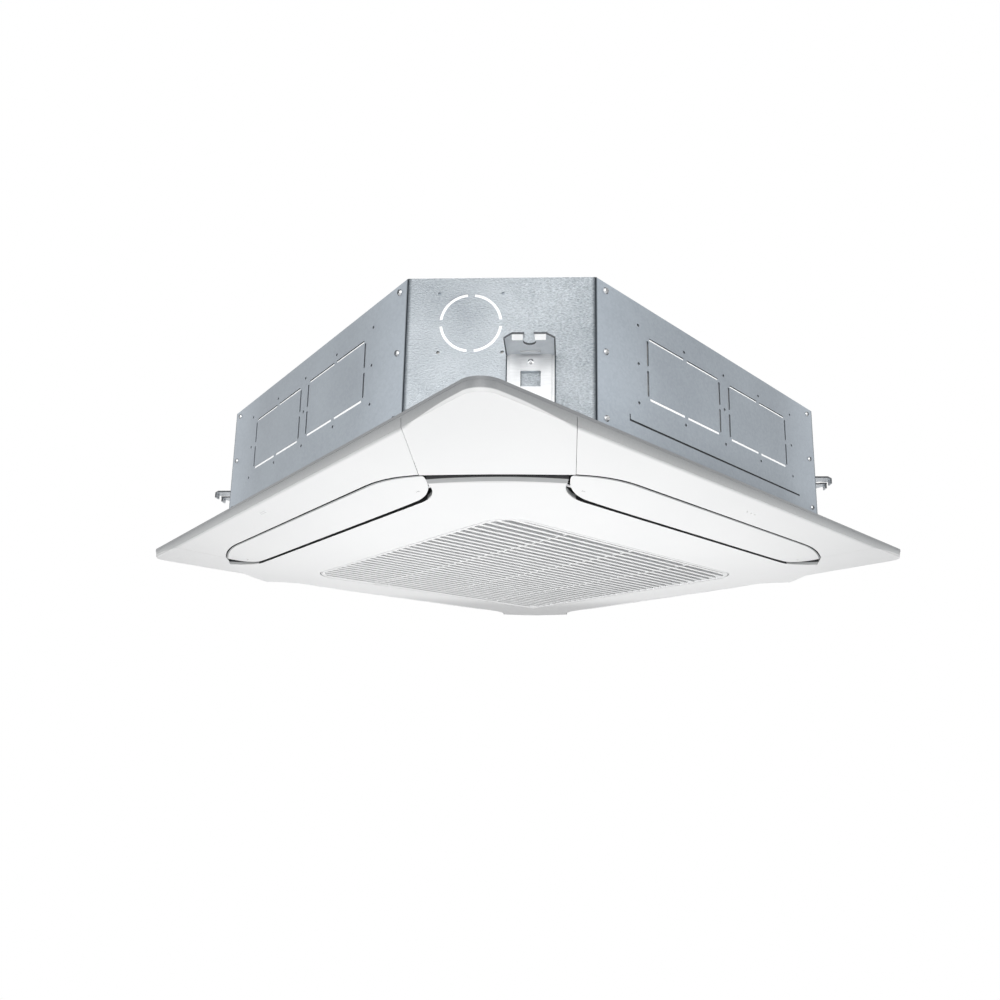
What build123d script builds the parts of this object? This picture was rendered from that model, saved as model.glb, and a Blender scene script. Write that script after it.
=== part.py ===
from build123d import *
import os
from math import cos, radians, sin, sqrt

# Four-way ceiling cassette air conditioner.
# Millimetres, Z up. Heights in this file start at the ceiling plane, on the axis of the fan.
# Each piece is moved down as it is written, so that the origin lies in the plane of the hanger holes.
# -Y is the front edge, +X the edge with the indicator holes.
# The four corners are called near (+X -Y), right (+X +Y), far (-X +Y) and left (-X -Y).

# ---------------------------------------------------------------- casing
CASING_HALF = 420.0            # half the 840 mm body
CASING_LEG = 156.0             # leg of each cut corner
CASING_TOP = 213.0
CASING_BOTTOM = 9.0
SHEET = 1.2
TOP_FLANGE = 23.0              # turned-down edge of the top plate
RETURN_LENGTH = 24.0           # corner plate edges behind the side panels
RETURN_DROP = 27.0             # returns stop this far below the top
CORNER_ANGLE = 45.0
SIDE_TURN = 90.0
FULL_TURN = 360.0

# pressed beads in the top plate
BEAD_COUNT = 8
BEAD_WIDTH = 14.0
BEAD_START = 190.0
BEAD_LENGTH = 150.0
DISH_RADIUS = 165.0
DISH_RING = 10.0

# rectangular duct knock-outs in the side panels
KNOCK_NEAR = 12.0              # from the middle of the panel to the first edge
KNOCK_WIDTH = 158.0
KNOCK_LOW = 92.0
KNOCK_HIGH = 172.0
KNOCK_SLOT = 3.4
KNOCK_BRIDGE = 7.0
BEND_LINE_Z = 54.0
BEND_LINE_LENGTH = 413.0
BEND_LINE_WIDTH = 2.6
BEND_LINE_DEPTH = 0.8
BEND_TICK = 9.0                # short upright mark at one end of the line
BEND_TICK_WIDTH = 1.8

# pilot holes in the side panels
PILOT_RADIUS = 2.0
PILOT_EDGE = 188.0
PILOT_MID = 93.0
PILOT_TOP_Z = 183.0
PILOT_CENTRE_Z = 132.0
PILOT_LOW_Z = 81.0

# round duct knock-out in the near corner plate
ROUND_RADIUS = 35.0
ROUND_SLOT = 3.4
ROUND_BRIDGE = 8.0
ROUND_SIDE = -35.0
ROUND_Z = 156.0
ROUND_PILOT = 37.0

# casing screws
SCREW_INSET = 17.0             # from the end of a side panel
SCREW_TOP_Z = 203.0
SCREW_MID_Z = 125.0
SCREW_LOW_Z = 43.0
SCREW_HEAD_RADIUS = 4.0
SCREW_HEAD_HEIGHT = 2.2
SCREW_RADIUS = 2.0
SCREW_LENGTH = 6.0
SCREW_HOLE = 2.15

# ---------------------------------------------------------------- hangers
HANGER_PITCH_X = 780.0
HANGER_PITCH_Y = 680.0
HANGER_HOLE = 7.3
HANGER_MOUTH = 10.2
HANGER_WIDTH = 57.0
HANGER_SHEET = 2.5
HANGER_RAISE = 3.0
HANGER_EDGE = 4.5
HANGER_FLANGE_Z = 113.5        # underside that the nut carries
HANGER_REACH = 48.0            # short flange, from the corner plate
HANGER_REACH_LONG = 91.0       # long flange on the -X side
HANGER_CORNER = 10.0
HANGER_LIP_DROP = 7.0
HANGER_RIB_WIDTH = 4.0
HANGER_RIB_DROP = 2.0
HANGER_WINDOW_LOW = 74.0
HANGER_WINDOW_HIGH = 93.0
HANGER_WINDOW = 23.0
HANGER_FOOT_WIDTH = 44.0
HANGER_FOOT_REACH = 46.0
RIVET_RADIUS = 2.0
RIVET_HEAD = 3.4
RIVET_HEIGHT = 1.6
RIVET_HIGH_Z = 104.0
RIVET_LOW_Z = 30.0
RIVET_HOLE = 2.15

# ---------------------------------------------------------------- insulation and drain pan
SEAT = 0.3                     # gap that a pressed-in foam part keeps
LINER_WALL = 12.0
LINER_PAD = 8.0
PAN_TOP = 50.0
PAN_EYE = 226.0                # round hole for the air intake
OUTLET_IN = 371.0
OUTLET_OUT = 403.0
OUTLET_HALF = 210.0
OUTLET_CORNER = 14.0
TROUGH_FLOOR = 36.0
TROUGH_IN = 298.0
TROUGH_OUT = 345.0
SUMP_RADIUS = 22.0
SUMP_FLOOR = 28.0

# ---------------------------------------------------------------- coil
COIL_OUT = 333.0
COIL_THICK = 30.0
COIL_CORNER = 95.0
COIL_GAP = 245.0               # the ring is open past this line at the far corner
COIL_GROOVE = 3.0
COIL_GROOVE_DEPTH = 2.0
TUBE_PITCH = 21.0
END_PLATE = 1.5
END_PLATE_EDGE = 3.0
BEND_TUBE = 4.0
BEND_RADIUS = 10.5
BEND_COUNT = 4
BEND_LEG = 3.0

# refrigerant pipes and drain at the far corner
GAS_RADIUS = 7.94
GAS_Z = 160.0
LIQUID_RADIUS = 4.76
LIQUID_Z = 120.0
PIPE_WALL = 1.0
PIPE_LEAD = 14.0
PIPE_PAST = 30.0               # how far the pipes stand out of the corner plate
GAS_THREAD = 11.1
LIQUID_THREAD = 7.94
UNION_HEX = 10.0
UNION_HEX_GROW = 2.6
UNION_THREAD_LENGTH = 15.0
DRAIN_RADIUS = 16.0
DRAIN_BORE = 13.0
DRAIN_NECK = 15.0
DRAIN_COLLAR = 20.0
DRAIN_COLLAR_THICK = 3.0
DRAIN_SIDE = -75.0
DRAIN_Z = 88.0
DRAIN_PAST = 45.0
DRAIN_BOX = 36.0
DRAIN_BOX_HEIGHT = 38.0
DRAIN_DEPTH = 38.0             # inner box behind the corner plate

# pump and float
PUMP_DIAG = 445.0
PUMP_SIDE = 40.0
PUMP_RADIUS = 15.0
PUMP_HEAD = 30.0
PUMP_HEAD_LOW = 70.0
PUMP_HEAD_TOP = 112.0
HOSE_RADIUS = 7.0
HOSE_BORE = 5.0
FLOAT_DIAG = 414.0
FLOAT_SIDE = 2.0
FLOAT_STEM = 3.0
FLOAT_RADIUS = 10.0
FLOAT_HEIGHT = 14.0
FLOAT_TRAVEL = 12.0
FLOAT_FIT = 0.08
FLOAT_STOP = 6.0
FLOAT_PLATE = 3.0

# ---------------------------------------------------------------- fan and motor
MOTOR_RADIUS = 70.0
MOTOR_LOW = 146.0
MOTOR_HIGH = 200.0
MOTOR_FLANGE = 88.0
MOTOR_FLANGE_THICK = 3.8
MOTOR_FIN_COUNT = 12
MOTOR_FIN = 3.0
MOTOR_BOSS = 22.0
MOTOR_BOSS_DROP = 6.0
BUSH_COUNT = 4
BUSH_CIRCLE = 78.0
BUSH_RADIUS = 8.0
MOUNT_RADIUS = 140.0
MOUNT_PLATE = 2.0
MOUNT_WINDOW = 24.0
MOUNT_WINDOW_CIRCLE = 110.0
SHAFT_RADIUS = 6.0
SHAFT_FIT = 0.05
SHAFT_LOW = 92.0
SHAFT_IN_MOTOR = 34.0
FAN_RADIUS = 238.0
FAN_PLATE_Z = 182.0
FAN_SKIN = 3.0
FAN_CONE_TOP = 142.0
FAN_CONE_LOW = 62.0
FAN_CONE_Z = 118.0
FAN_BOSS = 20.0
FAN_BOSS_LOW = 100.0
FAN_INLET = 166.0
FAN_INLET_Z = 72.0
FAN_SHROUD_Z = 104.0
FAN_BLADES = 7
BLADE_START = 138.0
BLADE_THICK = 3.2
BLADE_SWEEP = 52.0
BLADE_BOW = 12.0
BLADE_CLEAR = 22.0             # blades begin this far above the intake ring
NUT_RADIUS = 10.0
NUT_HEIGHT = 7.0
WASHER_RADIUS = 14.0
WASHER_THICK = 2.0

# air intake ring
BELL_HALF = 262.0
BELL_CORNER = 40.0
BELL_PLATE = 2.4
BELL_MOUTH = 214.0
BELL_THROAT = 158.0
BELL_TOP = 80.0
BELL_SKIN = 2.4

# control box on the intake ring
BOX_HALF = 112.0
BOX_NEAR = 214.0
BOX_FAR = 260.0
BOX_DROP = 30.0
BOX_WALL = 1.6
BOX_LIP = 1.5
BOARD_GAP = 6.0
BOARD_THICK = 1.6
CHIP_HEIGHT = 9.0

# ---------------------------------------------------------------- panel
PANEL_HALF = 475.0
PANEL_CORNER = 26.0
RIM_HEIGHT = 14.0
RIM_TAPER = 2.0
SLOPE = 0.283                  # fall of the border towards the middle
ROUNDING = 1.785               # growth of the corner radius with the fall line
SKIN = 3.0
CEILING_BAND = 19.0            # width of the ring that meets the ceiling
DECK_TOP = -2.0
DECK_THICK = 3.0
DECK_START = 352.0
DECK_HALF = 128.0
DECK_IN = 345.0
DECK_OUT = 431.0
DECK_CORNER = 60.0
WALL = 2.5

# vanes
VANE_OUT = 425.0
VANE_IN = 373.5
VANE_OUT_STRAIGHT = 200.0
VANE_OUT_RADIUS = 236.0
VANE_IN_STRAIGHT = 231.0
VANE_IN_RADIUS = 70.0
VANE_TIP = 288.5
VANE_THICK = 3.0
VANE_BEVEL = 1.5
GAP_OUT = 2.0
GAP_IN = 5.0
PIVOT_OUT = 383.0
PIVOT_Z = -33.0
PIVOT_RADIUS = 2.5
PIVOT_FIT = 0.06
PIVOT_EAR_AT = 249.0
PIVOT_EAR = 5.0
PIVOT_EAR_RADIUS = 4.6
PIVOT_BOSS = 5.6
PIVOT_BOSS_END = 285.0
PIVOT_PIN_END = 291.0
VANE_RIB_COUNT = 5
VANE_RIB_STEP = 80.0
VANE_RIB = 1.6
VANE_RIB_HEIGHT = 4.0
VANE_RIB_IN = 388.0
VANE_RIB_OUT = 418.0

# vane motors
STEPPER_RADIUS = 11.0
STEPPER_IN = 5.0
STEPPER_UP = 7.5
STEPPER_PLATE = 1.5
STEPPER_LENGTH = 15.0
STEPPER_EAR = 17.0
STEPPER_EAR_HALF = 3.5
STEPPER_BOSS = 4.6
STEPPER_BORE_DEPTH = 8.0

# corner covers
COVER_HALF = 87.0
COVER_ARC = 502.0              # middle of the inner arc, along the diagonal
COVER_TIP = 492.0
COVER_SEAM = 0.5
CENTRE_GAP = 2.2
COVER_TOP = -5.0
COVER_WALL = 2.0

# centre ring
RING_EDGE = 373.5
RING_EDGE_Z = -42.0
GRILLE_HALF = 267.0
GRILLE_CORNER = 45.0
GRILLE_GAP = 2.0
PANEL_DEPTH = -44.0
RING_BEVEL = 2.4
RING_BEVEL_DEPTH = 6.4
RING_RIBS = 5
RING_RIB_STEP = 90.0
RING_RIB_TOP = -14.0

# intake grille
GRILLE_RIM = 6.0
GRILLE_HEIGHT = 11.0
SLAT_PITCH = 16.0
SLAT_COUNT = 33
SLAT_WIDTH = 5.6
SLAT_TOP_WIDTH = 3.6
SLAT_HEIGHT = 8.0
CROSS_STEP = 140.0
CROSS_WIDTH = 4.0
CROSS_DROP = 2.0
HINGE_X = 228.0
HINGE_Z = -38.5
HINGE_PIN = 2.5
HINGE_FIT = 0.06
HINGE_PIN_START = 250.0
HINGE_PIN_END = 274.0
HINGE_BOSS = 4.8
HINGE_BOSS_END = 277.0
LATCH_SIDE = 134.0
LATCH_HALF = 13.0
LATCH_OUT = 262.2
LATCH_IN = 252.0
LATCH_LOW = -43.6
LATCH_HIGH = -36.0
LATCH_TONGUE_END = 268.4
LATCH_TONGUE_HALF = 6.0
LATCH_TONGUE_LOW = -38.6
LATCH_FIT = 0.3
LATCH_TRAVEL = 7.0
LATCH_FRAME = 1.8
LATCH_GRIP = 1.2

# filter
FILTER_HALF = 264.0
FILTER_CORNER = 42.0
FILTER_FRAME = 7.0
FILTER_HEIGHT = 4.0
FILTER_MESH = 0.8
FILTER_RIB = 2.0
FILTER_RIB_STEP = 85.0
FILTER_RIBS = 5

# indicators
LAMP_AT = 447.0
LAMP_FIRST = 2.0
LAMP_STEP = 10.0
LAMP_COUNT = 3
LAMP_RADIUS = 1.1
LAMP_BAR = 30.0
LAMP_BAR_WIDTH = 9.0
WINDOW_X = -25.0
WINDOW_OUT = 456.0
WINDOW_LENGTH = 16.0
WINDOW_WIDTH = 4.0
WINDOW_FIT = 0.15
WINDOW_EDGE = 3.0
WINDOW_BACK = 1.5

# gasket and panel screws
GASKET_IN = 346.0
GASKET_INSET = 4.0
GASKET_GROW = 1.5
GASKET_CORNER = 60.0
PANEL_SCREW_DIAG = 516.0
PANEL_SCREW_RADIUS = 2.5
PANEL_SCREW_HOLE = 2.75
PANEL_SCREW_HEAD = 6.0
PANEL_SCREW_HEAD_HEIGHT = 4.0
PANEL_SCREW_LENGTH = 14.0

ROOT2 = sqrt(2.0)
DIAGONAL = (2.0 * CASING_HALF - CASING_LEG) / ROOT2
SIDE_HALF = CASING_HALF - CASING_LEG
FAR_PAST = 60.0                # cutters run past the faces they cut by this much

SIDES = {"front": 0.0, "right": 90.0, "back": 180.0, "left": 270.0}
CORNERS = {"near": -45.0, "right": 45.0, "far": 135.0, "left": 225.0}
CORNER_SIGN = {"near": 1.0, "right": -1.0, "far": 1.0, "left": -1.0}


# ---------------------------------------------------------------- helpers
def block(x0, x1, y0, y1, z0, z1):
    """A box from its low and high corners."""
    size = Box(x1 - x0, y1 - y0, z1 - z0)
    return Pos((x0 + x1) / 2, (y0 + y1) / 2, (z0 + z1) / 2) * size


def rod(radius, z0, z1, x=0.0, y=0.0):
    """An upright cylinder."""
    return Pos(x, y, (z0 + z1) / 2) * Cylinder(radius, z1 - z0)


def rod_x(radius, x0, x1, y, z):
    """A cylinder along X."""
    return Pos((x0 + x1) / 2, y, z) * Rot(0, 90, 0) * Cylinder(radius, x1 - x0)


def rod_y(radius, y0, y1, x, z):
    """A cylinder along Y."""
    return Pos(x, (y0 + y1) / 2, z) * Rot(90, 0, 0) * Cylinder(radius, y1 - y0)


def slab(face, z0, z1):
    """A flat face at z = 0 raised into a plate."""
    return Pos(0, 0, z0) * extrude(face, z1 - z0)


def octagon(inset):
    """Plan of the casing, moved in by inset."""
    half = CASING_HALF - inset
    turn = (DIAGONAL - inset) * ROOT2 - half
    points = []
    for step in range(4):
        for point in ((half, -turn), (half, turn)):
            v = Vector(point[0], point[1]).rotate(Axis.Z, step * SIDE_TURN)
            points.append((v.X, v.Y))
    return make_face(Polyline(*points, close=True))


def rounded(half, radius):
    """A square plan with rounded corners."""
    return RectangleRounded(2 * half, 2 * half, radius)


def turned(shape, angle):
    """The same shape turned about the fan axis."""
    return Rot(0, 0, angle) * shape


def joined(shapes):
    """All the shapes fused into one."""
    result = shapes[0]
    for shape in shapes[1:]:
        result = result + shape
    return result


# ---------------------------------------------------------------- casing sheet metal
def top_plate():
    edge = octagon(SHEET)
    plate = slab(edge, CASING_TOP - SHEET, CASING_TOP)
    band = slab(edge - octagon(2 * SHEET), CASING_TOP - TOP_FLANGE, CASING_TOP)
    plate = plate + band
    low = CASING_TOP - SHEET / 2
    high = CASING_TOP + SHEET
    ring = Circle(DISH_RADIUS) - Circle(DISH_RADIUS - DISH_RING)
    plate = plate - slab(ring, low, high)
    end = BEAD_START + BEAD_LENGTH
    half = BEAD_WIDTH / 2
    for step in range(BEAD_COUNT):
        groove = block(BEAD_START, end, -half, half, low, high)
        plate = plate - turned(groove, step * FULL_TURN / BEAD_COUNT)
    for angle in SIDES.values():
        for side in (-1, 1):
            x = side * (SIDE_HALF - SCREW_INSET)
            hole = rod_y(SCREW_HOLE, -CASING_HALF, -CASING_HALF + FAR_PAST, x, SCREW_TOP_Z)
            plate = plate - turned(hole, angle)
    return plate


def knockout(low, high):
    """Eight slots with bridges at the corners and at the middle of each edge."""
    middle = (low + high) / 2
    z_middle = (KNOCK_LOW + KNOCK_HIGH) / 2
    half = KNOCK_BRIDGE / 2
    y0 = -CASING_HALF - SHEET
    y1 = -CASING_HALF + 2 * SHEET
    wide = KNOCK_SLOT / 2
    slots = []
    for z in (KNOCK_LOW, KNOCK_HIGH):
        slots.append(block(low + half, middle - half, y0, y1, z - wide, z + wide))
        slots.append(block(middle + half, high - half, y0, y1, z - wide, z + wide))
    for x in (low, high):
        slots.append(block(x - wide, x + wide, y0, y1, KNOCK_LOW + half, z_middle - half))
        slots.append(block(x - wide, x + wide, y0, y1, z_middle + half, KNOCK_HIGH - half))
    return slots


def side_panel(angle, lined):
    panel = block(-SIDE_HALF, SIDE_HALF, -CASING_HALF, -CASING_HALF + SHEET, CASING_BOTTOM, CASING_TOP)
    cuts = knockout(-KNOCK_NEAR - KNOCK_WIDTH, -KNOCK_NEAR)
    cuts = cuts + knockout(KNOCK_NEAR, KNOCK_NEAR + KNOCK_WIDTH)
    y0 = -CASING_HALF - SHEET
    y1 = -CASING_HALF + 2 * SHEET
    for side in (-1, 1):
        for z in (SCREW_TOP_Z, SCREW_MID_Z, SCREW_LOW_Z):
            cuts.append(rod_y(SCREW_HOLE, y0, y1, side * (SIDE_HALF - SCREW_INSET), z))
        for z in (PILOT_TOP_Z, PILOT_CENTRE_Z, PILOT_LOW_Z):
            cuts.append(rod_y(PILOT_RADIUS, y0, y1, side * PILOT_EDGE, z))
        for z in (PILOT_TOP_Z, PILOT_LOW_Z):
            cuts.append(rod_y(PILOT_RADIUS, y0, y1, side * PILOT_MID, z))
    for z in (PILOT_TOP_Z, PILOT_CENTRE_Z, PILOT_LOW_Z):
        cuts.append(rod_y(PILOT_RADIUS, y0, y1, 0, z))
    if lined:
        half = BEND_LINE_LENGTH / 2
        low = BEND_LINE_Z - BEND_LINE_WIDTH / 2
        deep = -CASING_HALF + BEND_LINE_DEPTH
        cuts.append(block(-half, half, y0, deep, low, low + BEND_LINE_WIDTH))
        cuts.append(block(-half, -half + BEND_TICK_WIDTH, y0, deep, low, low + BEND_TICK))
    return turned(panel - cuts, angle)


def screw_positions():
    """Turn and place of each casing screw, on a side panel that faces -Y."""
    places = []
    for angle in SIDES.values():
        for side in (-1, 1):
            for z in (SCREW_TOP_Z, SCREW_MID_Z, SCREW_LOW_Z):
                places.append((angle, side * (SIDE_HALF - SCREW_INSET), z))
    return places


def casing_screws():
    """All the pan-head screws of the casing."""
    screws = []
    face = -CASING_HALF
    for angle, x, z in screw_positions():
        head = Pos(x, face - SCREW_HEAD_HEIGHT / 2, z) * Rot(90, 0, 0) * Cone(
            SCREW_HEAD_RADIUS, SCREW_HEAD_RADIUS * 0.7, SCREW_HEAD_HEIGHT)
        shank = rod_y(SCREW_RADIUS, face, face + SCREW_LENGTH, x, z)
        screws.append(turned(head + shank, angle))
    return screws


def corner_blank():
    """Corner plate in its own frame: local X runs out along the diagonal."""
    half = CASING_LEG / ROOT2
    ring = octagon(0) - octagon(SHEET)
    cutter = Pos(DIAGONAL, 0) * Rectangle(DIAGONAL, 2 * (half - SHEET / ROOT2))
    face = (Rot(0, 0, CORNER_ANGLE) * ring) & cutter
    plate = slab(face, CASING_BOTTOM, CASING_TOP)
    back_ring = octagon(SHEET) - octagon(2 * SHEET)
    reach = half + RETURN_LENGTH / ROOT2
    back_cut = Pos(DIAGONAL, 0) * Rectangle(DIAGONAL, 2 * reach)
    back = (Rot(0, 0, CORNER_ANGLE) * back_ring) & back_cut
    middle = Pos(DIAGONAL, 0) * Rectangle(DIAGONAL, 2 * half - 8 * SHEET)
    back = back - middle
    return plate + slab(back, CASING_BOTTOM, CASING_TOP - RETURN_DROP)


def through_corner(radius, side, z):
    """A cutter through the corner plate, in the corner frame."""
    return rod_x(radius, DIAGONAL - FAR_PAST, DIAGONAL + FAR_PAST, side, z)


def return_holes():
    """Holes for the casing screws in the returns, in the corner frame."""
    holes = []
    for turn in (-CORNER_ANGLE, CORNER_ANGLE):
        for z in (SCREW_MID_Z, SCREW_LOW_Z):
            for side in (-1, 1):
                hole = rod_x(SCREW_HOLE, CASING_HALF - FAR_PAST / 4, CASING_HALF + FAR_PAST,
                             side * (SIDE_HALF - SCREW_INSET), z)
                holes.append(turned(hole, turn))
    return holes


def corner_plate(name):
    plate = corner_blank() - return_holes()
    hanger_side = CORNER_SIGN[name] * (HANGER_PITCH_X - HANGER_PITCH_Y) / 2 / ROOT2
    cuts = [through_corner(RIVET_HOLE, hanger_side, z) for z in (RIVET_HIGH_Z, RIVET_LOW_Z)]
    if name == "near":
        cuts = cuts + round_knockout()
    if name == "far":
        pipe_side = pipe_exit_side()
        cuts.append(through_corner(GAS_RADIUS + SEAT, pipe_side, GAS_Z))
        cuts.append(through_corner(LIQUID_RADIUS + SEAT, pipe_side, LIQUID_Z))
        cuts.append(through_corner(DRAIN_NECK + SEAT, DRAIN_SIDE, DRAIN_Z))
    return turned(plate - cuts, CORNERS[name])


def round_knockout():
    """Four curved slots with bridges, and four pilot holes around them."""
    ring = through_corner(ROUND_RADIUS + ROUND_SLOT / 2, ROUND_SIDE, ROUND_Z)
    ring = ring - through_corner(ROUND_RADIUS - ROUND_SLOT / 2, ROUND_SIDE, ROUND_Z)
    reach = ROUND_RADIUS + ROUND_SLOT
    half = ROUND_BRIDGE / 2
    x0 = DIAGONAL - FAR_PAST
    x1 = DIAGONAL + FAR_PAST
    bars = block(x0, x1, ROUND_SIDE - reach, ROUND_SIDE + reach, ROUND_Z - half, ROUND_Z + half)
    bars = bars + block(x0, x1, ROUND_SIDE - half, ROUND_SIDE + half, ROUND_Z - reach, ROUND_Z + reach)
    cuts = [ring - bars]
    for across in (-1, 1):
        for up in (-1, 1):
            side = ROUND_SIDE + across * ROUND_PILOT
            cuts.append(through_corner(PILOT_RADIUS, side, ROUND_Z + up * ROUND_PILOT))
    return cuts


# ---------------------------------------------------------------- hangers
def hanger_flange(reach, centre):
    """The top flange with its keyhole mouth, rounded at the outer corners."""
    x0 = DIAGONAL + HANGER_RAISE
    x1 = DIAGONAL + reach
    plan = Pos((x0 + x1) / 2, 0) * Rectangle(x1 - x0, HANGER_WIDTH)
    outer = plan.vertices().sort_by(Axis.X)[-2:]
    plan = chamfer(outer, HANGER_CORNER)
    hole_x = (HANGER_PITCH_X + HANGER_PITCH_Y) / 2 / ROOT2
    mouth_end = x1 + HANGER_WIDTH
    plan = plan - Pos(hole_x, 0) * Circle(HANGER_HOLE)
    plan = plan - Pos((hole_x + mouth_end) / 2, 0) * Rectangle(mouth_end - hole_x, HANGER_MOUTH)
    return Pos(0, centre, 0) * slab(plan, HANGER_FLANGE_Z, HANGER_FLANGE_Z + HANGER_SHEET)


def hanger_bracket(name, reach):
    centre = CORNER_SIGN[name] * (HANGER_PITCH_X - HANGER_PITCH_Y) / 2 / ROOT2
    half = HANGER_WIDTH / 2
    top = HANGER_FLANGE_Z + HANGER_SHEET
    flat = DIAGONAL + HANGER_SHEET
    proud = flat + HANGER_RAISE
    inner = half - HANGER_EDGE
    body = block(DIAGONAL, flat, -half, half, DECK_TOP, HANGER_FLANGE_Z)
    body = body + block(DIAGONAL, proud, -inner, inner, DECK_TOP, top)
    window = HANGER_WINDOW / 2
    body = body - block(DIAGONAL - SHEET, proud + SHEET, -window, window,
                        HANGER_WINDOW_LOW, HANGER_WINDOW_HIGH)
    body = Pos(0, centre, 0) * body
    body = body + hanger_flange(reach, centre)
    lip_x = DIAGONAL + reach
    lip_start = HANGER_MOUTH / 2 + HANGER_SHEET / 2
    for side in (-1, 1):
        y0 = centre + side * lip_start
        y1 = centre + side * (half - HANGER_CORNER)
        body = body + block(lip_x - HANGER_SHEET, lip_x, min(y0, y1), max(y0, y1),
                            HANGER_FLANGE_Z - HANGER_LIP_DROP, HANGER_FLANGE_Z)
    rib_x = proud + HANGER_RIB_WIDTH
    rib_half = HANGER_HOLE + HANGER_RIB_WIDTH
    body = body + block(rib_x, rib_x + HANGER_RIB_WIDTH, centre - rib_half, centre + rib_half,
                        HANGER_FLANGE_Z - HANGER_RIB_DROP, HANGER_FLANGE_Z)
    foot = HANGER_FOOT_WIDTH / 2
    body = body + block(DIAGONAL, DIAGONAL + HANGER_FOOT_REACH, centre - foot, centre + foot,
                        DECK_TOP, DECK_TOP + HANGER_SHEET)
    for z in (RIVET_HIGH_Z, RIVET_LOW_Z):
        body = body - rod_x(RIVET_HOLE, DIAGONAL - SHEET, proud + SHEET, centre, z)
    low = DECK_TOP - SHEET
    high = DECK_TOP + HANGER_SHEET + SHEET
    body = body - rod(PANEL_SCREW_HOLE, low, high, PANEL_SCREW_DIAG, centre)
    return turned(body, CORNERS[name])


def bracket_rivets():
    """Two rivets through each hanger bracket."""
    rivets = []
    face = DIAGONAL + HANGER_SHEET + HANGER_RAISE
    for name, angle in CORNERS.items():
        centre = CORNER_SIGN[name] * (HANGER_PITCH_X - HANGER_PITCH_Y) / 2 / ROOT2
        for z in (RIVET_HIGH_Z, RIVET_LOW_Z):
            shank = rod_x(RIVET_RADIUS, DIAGONAL - SHEET, face, centre, z)
            head = Pos(face + RIVET_HEIGHT / 2, centre, z) * Rot(0, 90, 0) * Cone(
                RIVET_HEAD, RIVET_HEAD / 2, RIVET_HEIGHT)
            rivets.append(turned(shank + head, angle))
    return rivets


# ---------------------------------------------------------------- insulation and drain pan
def insulation_liner():
    top = CASING_TOP - SHEET
    outer = octagon(2 * SHEET + SEAT)
    wall = slab(outer - octagon(2 * SHEET + SEAT + LINER_WALL), PAN_TOP, top)
    pad = slab(outer - Circle(DISH_RADIUS), top - LINER_PAD, top)
    liner = wall + pad
    pipe_side = pipe_exit_side()
    holes = [through_corner(GAS_RADIUS + SEAT, pipe_side, GAS_Z)]
    holes.append(through_corner(LIQUID_RADIUS + SEAT, pipe_side, LIQUID_Z))
    holes.append(through_corner(DRAIN_NECK + SEAT, DRAIN_SIDE, DRAIN_Z))
    liner = liner - turned(joined(holes), CORNERS["far"])
    return liner - screw_pockets() - rivet_pockets()


def screw_pockets():
    """Soft foam gives way round the screw ends, so it is relieved there."""
    pockets = []
    for angle, x, z in screw_positions():
        pocket = rod_y(SCREW_RADIUS + 1, -CASING_HALF, -CASING_HALF + SCREW_LENGTH + 1, x, z)
        pockets.append(turned(pocket, angle))
    return pockets


def rivet_pockets():
    pockets = []
    for name, angle in CORNERS.items():
        centre = CORNER_SIGN[name] * (HANGER_PITCH_X - HANGER_PITCH_Y) / 2 / ROOT2
        pocket = rod_x(RIVET_RADIUS + 1, DIAGONAL - SHEET * 4, DIAGONAL, centre, RIVET_HIGH_Z)
        pockets.append(turned(pocket, angle))
    return pockets


def outlet_plan(grow):
    """Plan of one air outlet at the front, grown by grow."""
    depth = OUTLET_OUT - OUTLET_IN + 2 * grow
    centre = -(OUTLET_OUT + OUTLET_IN) / 2
    return Pos(0, centre) * RectangleRounded(2 * (OUTLET_HALF + grow), depth, OUTLET_CORNER)


def drain_pan():
    plan = octagon(2 * SHEET + SEAT) - Circle(PAN_EYE)
    for angle in SIDES.values():
        plan = plan - turned(outlet_plan(0), angle)
    pan = slab(plan, CASING_BOTTOM, PAN_TOP)
    corner = COIL_CORNER + TROUGH_OUT - COIL_OUT
    ring = rounded(TROUGH_OUT, corner) - rounded(TROUGH_IN, COIL_CORNER - COIL_THICK)
    pan = pan - slab(ring, TROUGH_FLOOR, PAN_TOP + SHEET)
    sump = rod(SUMP_RADIUS, SUMP_FLOOR, PAN_TOP + SHEET, PUMP_DIAG, PUMP_SIDE)
    pan = pan - turned(sump, CORNERS["far"])
    return pan - low_pockets()


def low_pockets():
    """Relief round the lower screws and rivets."""
    pockets = []
    for angle, x, z in screw_positions():
        if z < PAN_TOP:
            pocket = rod_y(SCREW_RADIUS + 1, -CASING_HALF, -CASING_HALF + SCREW_LENGTH + 1, x, z)
            pockets.append(turned(pocket, angle))
    for name, angle in CORNERS.items():
        centre = CORNER_SIGN[name] * (HANGER_PITCH_X - HANGER_PITCH_Y) / 2 / ROOT2
        pocket = rod_x(RIVET_RADIUS + 1, DIAGONAL - SHEET * 4, DIAGONAL, centre, RIVET_LOW_Z)
        pockets.append(turned(pocket, angle))
    return pockets


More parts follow.
